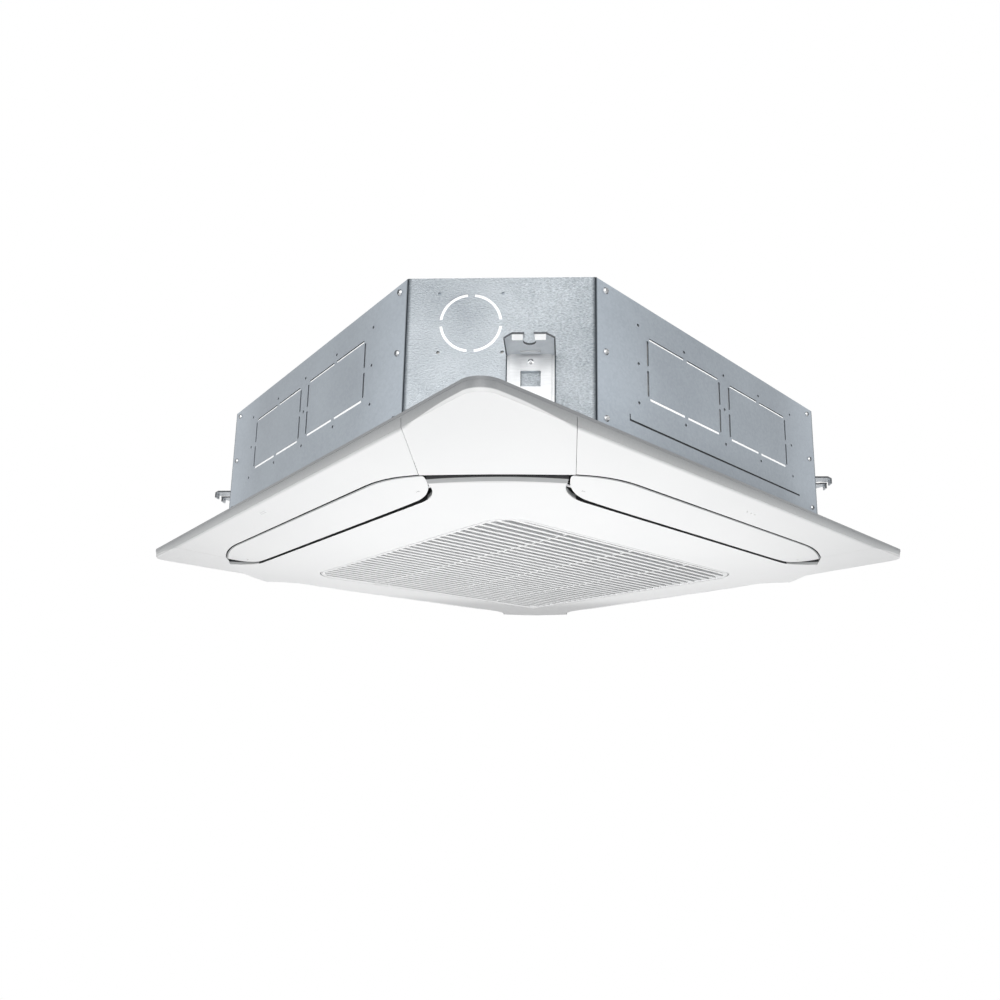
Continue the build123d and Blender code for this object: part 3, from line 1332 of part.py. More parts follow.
def intake_grille():
    top = PANEL_DEPTH + GRILLE_HEIGHT
    inner = GRILLE_HALF - GRILLE_RIM
    ring = rounded(GRILLE_HALF, GRILLE_CORNER) - rounded(inner, GRILLE_CORNER - GRILLE_RIM)
    rim = slab(ring, PANEL_DEPTH, top)
    rim = chamfer(rim.edges().group_by(Axis.Z)[0], 1)
    grille = rim + slats()
    for step in (-1, 0, 1):
        y = step * CROSS_STEP
        grille = grille + block(-inner - 1, inner + 1, y - CROSS_WIDTH / 2, y + CROSS_WIDTH / 2,
                                PANEL_DEPTH + CROSS_DROP, PANEL_DEPTH + SLAT_HEIGHT - 1)
    for side in (-1, 1):
        grille = grille + latch_pocket(side, LATCH_FIT + LATCH_FRAME, PANEL_DEPTH + 1, top - 1)
    for side in (-1, 1):
        grille = grille - latch_pocket(side, LATCH_FIT, PANEL_DEPTH - 1, top + 1)
        y = side * LATCH_SIDE
        half = LATCH_TONGUE_HALF + LATCH_FIT
        grille = grille - block(-GRILLE_HALF - 1, -LATCH_OUT, y - half, y + half,
                                LATCH_TONGUE_LOW - LATCH_FIT, LATCH_HIGH + LATCH_FIT)
        y0 = side * HINGE_PIN_START
        y1 = side * HINGE_PIN_END
        grille = grille + rod_y(HINGE_PIN, min(y0, y1), max(y0, y1), HINGE_X, HINGE_Z)
    return grille


def grille_latch(side):
    """Sliding latch whose tongue spans the gap to the centre ring."""
    y = side * LATCH_SIDE
    body = block(-LATCH_OUT, -LATCH_IN, y - LATCH_HALF, y + LATCH_HALF, LATCH_LOW, LATCH_HIGH)
    tongue = block(-LATCH_TONGUE_END, -LATCH_OUT, y - LATCH_TONGUE_HALF, y + LATCH_TONGUE_HALF,
                   LATCH_TONGUE_LOW, LATCH_HIGH)
    half = LATCH_HALF - 2
    grip_x = -LATCH_OUT + 2 * LATCH_GRIP
    grip = block(grip_x, grip_x + LATCH_GRIP, y - half, y + half, LATCH_LOW - 1, LATCH_LOW + 1)
    second = Pos(3 * LATCH_GRIP, 0, 0) * grip
    return body + tongue - grip - second


def filter_frame():
    high = PANEL_DEPTH + GRILLE_HEIGHT + FILTER_HEIGHT
    low = PANEL_DEPTH + GRILLE_HEIGHT
    inner = FILTER_HALF - FILTER_FRAME
    corner = FILTER_CORNER - FILTER_FRAME
    frame = slab(rounded(FILTER_HALF, FILTER_CORNER) - rounded(inner, corner), low, high)
    for step in range(-(FILTER_RIBS // 2), FILTER_RIBS // 2 + 1):
        x0 = step * FILTER_RIB_STEP - FILTER_RIB / 2
        rib = block(x0, x0 + FILTER_RIB, -inner - 1, inner + 1, low + 2 * FILTER_MESH, high)
        frame = frame + rib + turned(rib, SIDE_TURN)
    return frame


def filter_mesh():
    low = PANEL_DEPTH + GRILLE_HEIGHT + FILTER_MESH
    return slab(rounded(FILTER_HALF - FILTER_FRAME, FILTER_CORNER - FILTER_FRAME), low, low + FILTER_MESH)


# ---------------------------------------------------------------- indicators, gasket and panel screws
def indicator_bar():
    """Light guide behind the three small holes of the border."""
    middle = LAMP_FIRST + LAMP_STEP * (LAMP_COUNT - 1) / 2
    space = block(LAMP_AT - LAMP_BAR_WIDTH / 2, LAMP_AT + LAMP_BAR_WIDTH / 2, middle - LAMP_BAR / 2,
                  middle + LAMP_BAR / 2, PANEL_DEPTH, -SKIN)
    return (panel_body(SKIN) - panel_body(2 * SKIN)) & space


def receiver_window():
    """Small window of the remote receiver, flush with the border."""
    front = (panel_body(0) - panel_body(SKIN)) & window_block(WINDOW_FIT, 0)
    back = (panel_body(SKIN) - panel_body(SKIN + WINDOW_BACK)) & window_block(0, WINDOW_EDGE)
    return front + back


def outlet_gasket():
    plan = octagon(GASKET_INSET) - rounded(GASKET_IN, GASKET_CORNER)
    for angle in SIDES.values():
        plan = plan - turned(outlet_plan(GASKET_GROW), angle)
    return slab(plan, DECK_TOP, CASING_BOTTOM)


def panel_screws():
    """The four screws that hold the panel to the hanger feet."""
    screws = []
    low = DECK_TOP - DECK_THICK
    for name, angle in CORNERS.items():
        centre = CORNER_SIGN[name] * (HANGER_PITCH_X - HANGER_PITCH_Y) / 2 / ROOT2
        head = rod(PANEL_SCREW_HEAD, low - PANEL_SCREW_HEAD_HEIGHT, low, PANEL_SCREW_DIAG, centre)
        shank = rod(PANEL_SCREW_RADIUS, low, low + PANEL_SCREW_LENGTH, PANEL_SCREW_DIAG, centre)
        screws.append(turned(head + shank, angle))
    return screws


# ---------------------------------------------------------------- export
def pieces():
    """Every node of the assembly by name."""
    nodes = {}
    nodes["casing_top"] = top_plate()
    for name, angle in SIDES.items():
        nodes["side_" + name] = side_panel(angle, name == "right")
        nodes["vane_" + name] = vane(angle)
        nodes["vane_motor_" + name] = vane_motor(angle)
    for name in CORNERS:
        nodes["corner_plate_" + name] = corner_plate(name)
        nodes["corner_cover_" + name] = corner_cover(name)
        long_flange = name in ("left", "far")
        nodes["hanger_" + name] = hanger_bracket(name, HANGER_REACH_LONG if long_flange else HANGER_REACH)
    nodes["casing_screws"] = Compound(children=casing_screws())
    nodes["hanger_rivets"] = Compound(children=bracket_rivets())
    nodes["insulation_liner"] = insulation_liner()
    nodes["drain_pan"] = drain_pan()
    nodes["coil_fins"] = coil_fins()
    nodes["coil_end_plates"] = Compound(children=list(coil_end_plates()))
    nodes["return_bends"] = Compound(children=return_bends())
    nodes["gas_pipe"] = coil_pipe(GAS_RADIUS, GAS_Z)
    nodes["liquid_pipe"] = coil_pipe(LIQUID_RADIUS, LIQUID_Z)
    nodes["gas_union"] = flare_union(GAS_RADIUS, GAS_Z, GAS_THREAD)
    nodes["liquid_union"] = flare_union(LIQUID_RADIUS, LIQUID_Z, LIQUID_THREAD)
    nodes["drain_outlet"] = drain_outlet()
    nodes["drain_pump"] = drain_pump()
    nodes["float_stem"] = float_stem()
    nodes["float_ring"] = float_ring()
    nodes["motor_mount"] = motor_mount()
    nodes["motor_bushes"] = Compound(children=motor_bushes())
    nodes["fan_motor"] = fan_motor()
    nodes["motor_shaft"] = motor_shaft()
    nodes["turbo_fan"] = turbo_fan()
    nodes["fan_nut"] = fan_nut()
    nodes["bell_mouth"] = bell_mouth()
    nodes["control_box"] = control_box()
    nodes["control_cover"] = control_cover()
    nodes["control_board"] = control_board()
    nodes["outlet_gasket"] = outlet_gasket()
    nodes["panel_frame"] = panel_frame()
    nodes["panel_screws"] = Compound(children=panel_screws())
    nodes["indicator_bar"] = indicator_bar()
    nodes["receiver_window"] = receiver_window()
    nodes["intake_grille"] = intake_grille()
    nodes["grille_latch_front"] = grille_latch(-1)
    nodes["grille_latch_back"] = grille_latch(1)
    nodes["filter_frame"] = filter_frame()
    nodes["filter_mesh"] = filter_mesh()
    return nodes


def main():
    os.makedirs("parts", exist_ok=True)
    for name, shape in pieces().items():
        solids = [Pos(0, 0, -HANGER_FLANGE_Z) * solid for solid in shape.solids()]
        placed = solids[0] if len(solids) == 1 else Compound(children=solids)
        placed.label = name
        export_step(placed, os.path.join("parts", name + ".step"))


main()
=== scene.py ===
"""Ceiling cassette air conditioner: finishes, small added pieces, light and camera."""
from math import asin, cos, pi, radians, sin

import bmesh
import bpy
from mathutils import Matrix, Vector


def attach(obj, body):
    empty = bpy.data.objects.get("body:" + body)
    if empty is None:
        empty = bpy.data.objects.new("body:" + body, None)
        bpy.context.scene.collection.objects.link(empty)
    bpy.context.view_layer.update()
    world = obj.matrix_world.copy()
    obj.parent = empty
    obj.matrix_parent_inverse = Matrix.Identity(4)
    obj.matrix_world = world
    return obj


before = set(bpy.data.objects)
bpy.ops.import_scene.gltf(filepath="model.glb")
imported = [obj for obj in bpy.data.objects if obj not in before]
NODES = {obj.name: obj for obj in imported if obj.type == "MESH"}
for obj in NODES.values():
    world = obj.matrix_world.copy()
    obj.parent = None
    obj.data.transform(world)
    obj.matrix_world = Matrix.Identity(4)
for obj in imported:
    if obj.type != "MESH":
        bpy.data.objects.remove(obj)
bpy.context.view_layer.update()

CEILING_Z = -0.1135             # height of the ceiling plane in this frame

# ---------------------------------------------------------------- colours
ZINC_DARK = (0.258, 0.289, 0.325)
ZINC_LIGHT = (0.335, 0.372, 0.408)
PLATE_DARK = (0.25, 0.28, 0.305)
PLATE_LIGHT = (0.52, 0.555, 0.585)
# near black painted shade in the folds, along the hangers' edges and round the screws' edges
PAINTED_SHADE_DARK = (0.035, 0.045, 0.055)
# painted shadow: black and dark grey in the gaps
GAP_BLACK = (0.012, 0.013, 0.014)
GAP_GREY = (0.03, 0.032, 0.035)
WALL_PAINTED_SHADE = (0.45, 0.46, 0.465)
BRACKET_DARK = (0.66, 0.67, 0.68)
BRACKET_LIGHT = (0.80, 0.81, 0.82)
# painted light: a brighter, bluer copy of the hanger steel for the flange's downward faces
BRACKET_UNDER = (0.74, 0.79, 0.84)
BRACKET_UNDER_LIGHT = (0.90, 0.94, 0.98)
# painted shade: near black on a hanger's edge faces
BRACKET_EDGE = (0.05, 0.055, 0.06)
BRACKET_EDGE_LIGHT = (0.14, 0.15, 0.16)
SCREW_STEEL = (0.52, 0.53, 0.54)
SCREW_BRIGHT = (0.94, 0.945, 0.95)
PANEL_WHITE = (0.88, 0.885, 0.885)
PANEL_SHADE = (0.84, 0.845, 0.85)
GRILLE_WHITE = (0.85, 0.855, 0.855)
# painted shade on the panel's upright rim, from the ceiling down
RIM_SHADE_TOP = (0.245, 0.255, 0.265)
RIM_SHADE_LOW = (0.52, 0.53, 0.535)
FAR_FACE_SHADE = (0.56, 0.565, 0.57)
FLAP_EDGE_SHADE = (0.36, 0.37, 0.375)
FOAM_WHITE = (0.80, 0.80, 0.78)
SLOT_WHITE = (0.96, 0.965, 0.97)
SLOT_SHADE = (0.90, 0.91, 0.915)
FOAM_LINE = (0.70, 0.70, 0.68)
FOAM_DARK = (0.05, 0.05, 0.055)
FOAM_DARK_LIGHT = (0.09, 0.09, 0.10)
ALUMINIUM = (0.62, 0.65, 0.68)
FIN_GAP_SHADE = (0.20, 0.22, 0.24)
COPPER = (0.66, 0.32, 0.19)
COPPER_DARK = (0.42, 0.19, 0.11)
BRASS = (0.74, 0.56, 0.24)
BRASS_DARK = (0.52, 0.37, 0.14)
PLASTIC_GREY = (0.30, 0.315, 0.33)
PLASTIC_GREY_LIGHT = (0.38, 0.395, 0.41)
RUBBER = (0.025, 0.025, 0.026)
RUBBER_LIGHT = (0.05, 0.05, 0.052)
MOTOR_GREY = (0.42, 0.44, 0.46)
MOTOR_LIGHT = (0.52, 0.54, 0.56)
BOARD_GREEN = (0.03, 0.16, 0.08)
BOARD_LIGHT = (0.06, 0.24, 0.12)
FILTER_DARK = (0.34, 0.35, 0.36)
FILTER_LIGHT = (0.62, 0.63, 0.64)
LENS = (0.55, 0.60, 0.58)
LENS_LIGHT = (0.70, 0.74, 0.72)
WINDOW_DARK = (0.62, 0.63, 0.64)
WINDOW_LIGHT = (0.88, 0.885, 0.89)
FLOOR_WHITE = (0.92, 0.92, 0.92)
PLAIN_WHITE = (1.0, 1.0, 1.0, 1.0)

# ---------------------------------------------------------------- sizes in metres, from the middle
HALF_ROOT = 0.5 ** 0.5
CASING_HALF = 0.420             # half the width of the casing
SIDE_END = 0.264                # end of each side panel, from the middle of the side
PLATE_HALF = (CASING_HALF - SIDE_END) * HALF_ROOT   # half the width of each corner plate
PLATE_OUT = (CASING_HALF + SIDE_END) * HALF_ROOT    # how far out the corner plates stand
SIDES_FROM = CASING_HALF - 0.003                    # points further out than this are on the sides
SIDES_FULL = CASING_HALF - 0.002
SEAM_SHADE = 0.0030             # width of the painted shade in the fold at the end of a side panel
PLATE_SHADE = 0.0060            # the same on a corner plate
FLANGE_SHEET = 0.0025           # thickness of a hanger
END_HIGHLIGHT_LENGTH = 0.13                 # length of the painted highlight at each end of a side panel
END_HIGHLIGHT_GAIN = 1.28               # and the brightness of that painted highlight
FOOT_HEIGHT = 0.10              # height over which painted shade darkens a side panel towards its foot
PRESSED_LOW = CEILING_Z + 0.0520    # heights of the groove pressed into the right side panel
PRESSED_HIGH = CEILING_Z + 0.0625
PRESSED_HALF = 0.208            # half its length
PRESSED_SKIN = 0.0002           # its faces lie between these depths
PRESSED_FLOOR = 0.0011
RIM_HEIGHT = 0.014              # upright rim of the panel
RIM_CORNER_HEIGHT = 0.0095      # the same at the rounded corners
RIM_TURN = (0.03, 0.09)         # distances from a diagonal between which the height changes
RIM_BLEND = 0.0014              # height over which the rim's painted shade fades into the border
RIM_DARK = (0.752, 0.922)       # values of X - Y between which the rim's painted shade deepens, to the near corner
RIM_DARK_SHARE = 0.25           # share of its gradient that is left there
RIM_BRIGHT = (0.30, 0.70)       # and those between which a painted highlight brightens it, away from that corner
RIM_BRIGHT_SHARE = 1.24         # its brightness there
UP_FACING = (0.5, 0.7)          # Z of the normals of faces that look up and keep the panel's white
PANEL_HALF = 0.475              # half the width of the panel at the ceiling
BORDER_SLOPE = 0.283            # fall of the border towards the middle
BORDER_FOOT = CEILING_Z - RIM_HEIGHT - BORDER_SLOPE * PANEL_HALF    # height it would have there
BRACKET_ASIDE = 0.035355        # middle of a bracket, from the corner's diagonal
BRACKET_HALF = 0.0285           # half its width
EDGE_LINE = 0.0012              # width of the line of painted shade along a bracket's turned edges
COVER_HALF = 0.087              # half the width of the corner covers
COVER_BLEND = 0.001             # half the distance over which the walls change at a cover's end
GAP_BLEND = 0.0003              # distance over which a painted edge fades
FAR_FLATNESS = (0.846, 0.858)   # the ring's far faces, seen as flat as this, get painted grey shade
FAR_DEPTH = (0.036, 0.038)      # and only this far below the ceiling
FLAP_OUT = 0.425                # outer edge of a vane, its straight half and the arc at its ends
FLAP_STRAIGHT = 0.200
FLAP_RADIUS = 0.236
FLAP_EDGE = 0.0020              # width of the line of painted shade along a vane's outer edge
TIP_FROM = 0.246                # the ring's wall of a vane opening has painted black shadow from here to the tip
TIP_FULL = TIP_FROM + 0.012
TIP_OUT = 0.414                 # only as far out as this, which leaves out the border's wall
TIP_OUT_END = TIP_OUT + 0.002
CORNER_BLACK = CEILING_Z - 0.0362   # at the covers the ring's wall has painted black shadow above this height
CORNER_GREY = CEILING_Z - 0.0407    # and painted grey shade down to this one
VANE_WALLS = (0.365, 0.431)     # upright walls round the vanes lie between these distances
VANE_WALLS_END = 0.300          # and end this far from the middle of their side
COVER_WALLS = (0.478, 0.512)    # those at the corner covers lie between these, on the diagonal
COVER_WALLS_HALF = 0.0868       # half their length
WALLS_TOP = CEILING_Z - 0.002   # walls above this height stay white

# ---------------------------------------------------------------- which way a face looks
UPRIGHT_Z = 0.3                 # most of Z in the normal of an upright face
LEANING_Z = 0.5                 # the same where it may lean a little
DOWNWARD_Z = -0.7               # a face with less than this looks down
ENDWAYS = 0.9                   # least of its own direction in the normal of a hanger's end face

# ---------------------------------------------------------------- looks
SHEET_METALLIC = 0.75
SHEET_ROUGH = (0.35, 0.47)
STUCCO_SIDE = (-0.03, 0.08)     # values of X + Y between which the hammering and the painted highlight grow
STUCCO_CONTRAST = (0.55, 1.5)
# brightness of the painted highlight across a corner plate
STUCCO_HIGHLIGHT = (0.96, 1.24)
WALL_SHEEN = 0.6
SCREW_EDGE = (0.25, 0.60)       # flatness between which painted shade darkens a screw's edge
FIN_WAVES = 2400.0              # radians per metre
NET_WAVES = 1570.0
COLOUR_SOCKETS = (6, 7)         # the colour inputs of a mix node
COLOUR_RESULT = 2


# ---------------------------------------------------------------- node helpers
class Shader:
    """A material under construction: thin wrappers that add and join nodes."""

    def __init__(self, name):
        self.material = bpy.data.materials.new(name)
        self.material.use_nodes = True
        self.tree = self.material.node_tree
        self.nodes = self.tree.nodes
        self.surface = self.nodes["Principled BSDF"]
        coordinates = self.add("ShaderNodeTexCoord")
        self.place = coordinates.outputs["Object"]
        self.normal = coordinates.outputs["Normal"]

    def add(self, kind, **values):
        node = self.nodes.new(kind)
        for key, value in values.items():
            setattr(node, key, value)
        return node

    def join(self, source, target):
        self.tree.links.new(source, target)

    def noise(self, scale, detail=4.0, rough=0.55, vector=None):
        node = self.add("ShaderNodeTexNoise")
        node.inputs["Scale"].default_value = scale
        node.inputs["Detail"].default_value = detail
        node.inputs["Roughness"].default_value = rough
        self.join(vector or self.place, node.inputs["Vector"])
        return node.outputs["Fac"]

    def cells(self, scale, output="Color"):
        node = self.add("ShaderNodeTexVoronoi", feature="F1")
        node.inputs["Scale"].default_value = scale
        self.join(self.place, node.inputs["Vector"])
        return node.outputs[output]

    def ramp(self, factor, stops):
        """A colour ramp; stops are (place, colour) pairs."""
        node = self.add("ShaderNodeValToRGB")
        marks = node.color_ramp.elements
        while len(marks) < len(stops):
            marks.new(1.0)
        for mark, (place, colour) in zip(marks, stops):
            mark.position = place
            mark.color = (*colour, 1.0)
        self.join(factor, node.inputs["Fac"])
        return node.outputs["Color"]

    def mix(self, factor, first, second):
        node = self.add("ShaderNodeMix", data_type="RGBA", blend_type="MIX")
        self.join(factor, node.inputs["Factor"])
        for value, index in zip((first, second), COLOUR_SOCKETS):
            socket = node.inputs[index]
            if isinstance(value, tuple):
                socket.default_value = (*value, 1.0)
            else:
                self.join(value, socket)
        return node.outputs[COLOUR_RESULT]

    def sum(self, kind, first, second=0.0, third=0.0):
        """A math node of any kind; values may be numbers or sockets."""
        node = self.add("ShaderNodeMath", operation=kind)
        for socket, value in zip(node.inputs, (first, second, third)):
            if isinstance(value, float):
                socket.default_value = value
            else:
                self.join(value, socket)
        return node.outputs[0]

    def weighed(self, *pairs):
        """The sum of values times their weights."""
        total = 0.0
        for value, weight in pairs:
            total = self.sum("MULTIPLY_ADD", value, weight, total)
        return total

    def between(self, factor, low, high):
        """Maps a factor of 0 to 1 onto low to high."""
        return self.sum("MULTIPLY_ADD", factor, high - low, low)

    def axis(self, name, vector=None):
        node = self.add("ShaderNodeSeparateXYZ")
        self.join(vector or self.place, node.inputs[0])
        return node.outputs[name]

    def stretch(self, scale):
        node = self.add("ShaderNodeMapping")
        node.inputs["Scale"].default_value = scale
        self.join(self.place, node.inputs["Vector"])
        return node.outputs["Vector"]

    def step(self, value, low, high):
        """Rises from 0 to 1 as the value goes from low to high."""
        node = self.add("ShaderNodeMapRange", interpolation_type="SMOOTHSTEP")
        self.join(value, node.inputs["Value"])
        node.inputs["From Min"].default_value = low
        node.inputs["From Max"].default_value = high
        return node.outputs["Result"]

    def scaled(self, colour, share):
        """The colour times a number."""
        node = self.add("ShaderNodeVectorMath", operation="SCALE")
        self.join(colour, node.inputs[0])
        self.join(share, node.inputs["Scale"])
        return node.outputs[0]

    def size(self, name):
        """How far out a point lies along an axis, either way."""
        return self.sum("ABSOLUTE", self.axis(name))

    def outer(self):
        return self.sum("MAXIMUM", self.size("X"), self.size("Y"))

    def inner(self):
        return self.sum("MINIMUM", self.size("X"), self.size("Y"))

    def corner_aside(self):
        """Distance from the nearest diagonal."""
        apart = self.sum("SUBTRACT", self.size("X"), self.size("Y"))
        return self.sum("MULTIPLY", self.sum("ABSOLUTE", apart), HALF_ROOT)

    def flatness(self):
        """0 for a face seen straight on, 1 for one seen edge on."""
        node = self.add("ShaderNodeLayerWeight")
        node.inputs["Blend"].default_value = 0.5
        return node.outputs["Facing"]

    def bump(self, height, strength, distance, before=None):
        node = self.add("ShaderNodeBump")
        node.inputs["Strength"].default_value = strength
        node.inputs["Distance"].default_value = distance
        self.join(height, node.inputs["Height"])
        if before is not None:
            self.join(before, node.inputs["Normal"])
        return node.outputs["Normal"]

    def finish(self, colour, rough, normal, metallic=0.0, coat=0.0):
        inputs = self.surface.inputs
        self.join(colour, inputs["Base Color"])
        self.join(normal, inputs["Normal"])
        if isinstance(rough, float):
            inputs["Roughness"].default_value = rough
        else:
            self.join(rough, inputs["Roughness"])
        inputs["Metallic"].default_value = metallic
        inputs["Coat Weight"].default_value = coat
        return self.material


# ---------------------------------------------------------------- materials
def zinc(name, foot=1.0):
    """Galvanised sheet: clouds, soft small crystals, fine grain, painted shade in the folds at the
    panel ends and a painted highlight towards those ends.

    The foot is the share of the brightness that painted shade leaves at the lower edge."""
    s = Shader(name)
    crystals = s.axis("X", s.cells(300.0))
    clouds = s.noise(9.0, 4.0, 0.55)
    grain = s.noise(700.0, 3.0, 0.6)
    part = s.weighed((crystals, 0.16), (clouds, 0.60), (grain, 0.24))
    colour = s.ramp(part, ((0.25, ZINC_DARK), (0.75, ZINC_LIGHT)))
    along = s.inner()
    on_side = s.step(s.outer(), SIDES_FROM, SIDES_FULL)
    # painted shade towards the foot of a side panel
    shade = s.between(s.step(s.axis("Z"), CEILING_Z, CEILING_Z + FOOT_HEIGHT), foot, 1.0)
    # painted highlight: each side panel brightens towards its ends
    glow = s.sum("MULTIPLY", s.step(along, SIDE_END - END_HIGHLIGHT_LENGTH, SIDE_END), on_side)
    shade = s.sum("MULTIPLY", shade, s.between(glow, 1.0, END_HIGHLIGHT_GAIN))
    colour = s.scaled(colour, shade)
    # painted shade in the fold at each end of a side panel
    seam = s.sum("MULTIPLY", s.step(along, SIDE_END - SEAM_SHADE, SIDE_END), on_side)
    colour = s.mix(seam, colour, PAINTED_SHADE_DARK)
    normal = s.bump(grain, 0.08, 0.0003)
    normal = s.bump(s.noise(16.0, 2.0, 0.5), 0.05, 0.004, normal)
    return s.finish(colour, s.between(clouds, *SHEET_ROUGH), normal, SHEET_METALLIC)


def stucco():
    """Finely hammered corner sheet, stronger towards one side and with a painted highlight there,
    and painted shade in the folds at its ends.
    """
    s = Shader("corner_sheet")
    side = s.step(s.sum("ADD", s.axis("X"), s.axis("Y")), *STUCCO_SIDE)
    dimples = s.noise(360.0, 3.0, 0.60, s.stretch((1.0, 1.0, 1.9)))
    clouds = s.noise(10.0, 3.0, 0.5)
    contrast = s.between(side, *STUCCO_CONTRAST)
    part = s.sum("MULTIPLY_ADD", s.sum("SUBTRACT", dimples, 0.5), contrast, 0.5)
    part = s.sum("MULTIPLY_ADD", s.sum("SUBTRACT", clouds, 0.5), 0.9, part)
    colour = s.ramp(part, ((0.15, PLATE_DARK), (0.85, PLATE_LIGHT)))
    # painted highlight: the corner plate brightens towards one side
    colour = s.scaled(colour, s.between(side, *STUCCO_HIGHLIGHT))
    # painted shade in the folds at the ends of a corner plate
    seam = s.step(s.corner_aside(), PLATE_HALF - PLATE_SHADE, PLATE_HALF)
    colour = s.mix(seam, colour, PAINTED_SHADE_DARK)
    normal = s.bump(s.sum("MULTIPLY", dimples, contrast), 0.8, 0.0016)
    return s.finish(colour, s.between(dimples, 0.34, 0.48), normal, 0.72)


def grained(name, dark, light, scale, rough, metallic=0.0, coat=0.0):
    """Moulded or machined finish: slow colour drift, fine grain and a matching bump."""
    s = Shader(name)
    drift = s.noise(scale / 12.0, 3.0, 0.5)
    fine = s.noise(scale, 3.0, 0.6)
    part = s.weighed((fine, 0.4), (drift, 0.6))
    colour = s.ramp(part, ((0.30, dark), (0.70, light)))
    spread = s.between(fine, rough - 0.05, rough + 0.06)
    return s.finish(colour, spread, s.bump(fine, 0.15, 0.0002), metallic, coat)


def panel_plastic(name, flap=False):
    """White moulded border with a satin skin, painted shade on the upright rim, darkest at the
    ceiling, and painted grey shade on the ring's far faces.

    A flap also has a line of painted shade along its outer edge."""
    s = Shader(name)
    drift = s.noise(5.0, 3.0, 0.5)
    fine = s.noise(1400.0, 2.0, 0.6)
    tone = s.weighed((fine, 0.3), (drift, 0.7))
    white = s.ramp(tone, ((0.30, PANEL_SHADE), (0.70, PANEL_WHITE)))
    depth = s.sum("SUBTRACT", CEILING_Z, s.axis("Z"))
    # painted shade on the upright rim: grey from the ceiling down, deeper to the near corner,
    # lighter with a painted highlight away from it
    foot = s.between(s.step(s.corner_aside(), *RIM_TURN), RIM_CORNER_HEIGHT, RIM_HEIGHT)
    nearness = s.sum("SUBTRACT", s.axis("X"), s.axis("Y"))
    fade = s.between(s.step(nearness, *RIM_DARK), 1.0, RIM_DARK_SHARE)
    grey = s.mix(s.sum("MULTIPLY", s.sum("DIVIDE", depth, foot), fade), RIM_SHADE_TOP, RIM_SHADE_LOW)
    dots = s.sum("MULTIPLY_ADD", s.cells(420.0, "Distance"), 0.08, 0.96)
    bright = s.between(s.step(nearness, *RIM_BRIGHT), RIM_BRIGHT_SHARE, 1.0)
    grey = s.scaled(grey, s.sum("MULTIPLY", dots, bright))
    past = s.step(s.sum("SUBTRACT", depth, foot), 0.0, RIM_BLEND)
    past = s.sum("MAXIMUM", past, s.step(s.axis("Z", s.normal), *UP_FACING))
    white = s.mix(past, grey, white)
    # painted shade: grey on the ring's faces seen nearly edge on
    far = s.sum("MULTIPLY", s.step(s.flatness(), *FAR_FLATNESS), s.step(depth, *FAR_DEPTH))
    white = s.mix(far, white, FAR_FACE_SHADE)
    # painted shade in a line along the vane's outer edge
    if flap:
        beyond = s.sum("MAXIMUM", s.sum("SUBTRACT", s.inner(), FLAP_STRAIGHT), 0.0)
        reach = s.sum("SUBTRACT", s.outer(), FLAP_OUT - FLAP_RADIUS)
        square = s.weighed((beyond, beyond), (reach, reach))
        edge = s.sum("SUBTRACT", FLAP_RADIUS, s.sum("SQRT", square))
        line = s.step(edge, FLAP_EDGE, FLAP_EDGE - GAP_BLEND)
        white = s.mix(line, white, FLAP_EDGE_SHADE)
    spread = s.between(fine, 0.40, 0.50)
    return s.finish(white, spread, s.bump(fine, 0.05, 0.0001), 0.0, 0.03)


def gap_walls():
    """Upright walls round the vanes and the corner covers: painted black shadow in the gap, pale
    below it, after a band of painted grey shade at the covers.
    """
    s = Shader("shadow_gap_walls")
    fine = s.noise(500.0, 3.0, 0.6)
    black = s.mix(fine, GAP_BLACK, GAP_GREY)
    height = s.axis("Z")
    outer = s.outer()
    surface = s.sum("MULTIPLY_ADD", outer, BORDER_SLOPE, BORDER_FOOT)
    dark = s.step(s.sum("SUBTRACT", height, surface), -GAP_BLEND, 0.0)
    at_corner = s.step(s.corner_aside(), COVER_HALF + COVER_BLEND, COVER_HALF - COVER_BLEND)
    at_tip = s.step(s.inner(), TIP_FROM, TIP_FULL)
    at_tip = s.sum("MULTIPLY", at_tip, s.step(outer, TIP_OUT_END, TIP_OUT))
    dark = s.sum("MAXIMUM", dark, at_tip)
    corner_dark = s.step(height, CORNER_BLACK - GAP_BLEND, CORNER_BLACK)
    by_vane = s.sum("SUBTRACT", 1.0, at_corner)
    dark = s.weighed((at_corner, corner_dark), (by_vane, dark))
    low = s.mix(s.step(height, CORNER_GREY - GAP_BLEND, CORNER_GREY), PANEL_WHITE, WALL_PAINTED_SHADE)
    low = s.mix(at_corner, PANEL_WHITE, low)
    sheen = s.sum("MULTIPLY", by_vane, s.sum("SUBTRACT", 1.0, dark))
    s.join(s.sum("MULTIPLY", sheen, WALL_SHEEN), s.surface.inputs["Metallic"])
    return s.finish(s.mix(dark, low, black), 0.6, s.bump(fine, 0.1, 0.0002))


def brushed(name, dark, light):
    """Rolled bright steel with faint streaks, and a line of painted shade along a hanger's turned
    edges.
    """
    s = Shader(name)
    streaks = s.noise(60.0, 5.0, 0.65, s.stretch((1.0, 1.0, 14.0)))
    blots = s.noise(45.0, 3.0, 0.5)
    part = s.weighed((blots, 0.4), (streaks, 0.6))
    colour = s.ramp(part, ((0.30, dark), (0.66, light)))
    # painted shade in a line along the hanger's turned edges
    aside = s.sum("ABSOLUTE", s.sum("SUBTRACT", s.corner_aside(), BRACKET_ASIDE))
    line = s.step(aside, BRACKET_HALF - EDGE_LINE - GAP_BLEND, BRACKET_HALF - EDGE_LINE)
    colour = s.mix(line, colour, PAINTED_SHADE_DARK)
    rough = s.between(blots, 0.26, 0.42)
    normal = s.bump(streaks, 0.12, 0.0004)
    return s.finish(colour, rough, normal, 0.35)


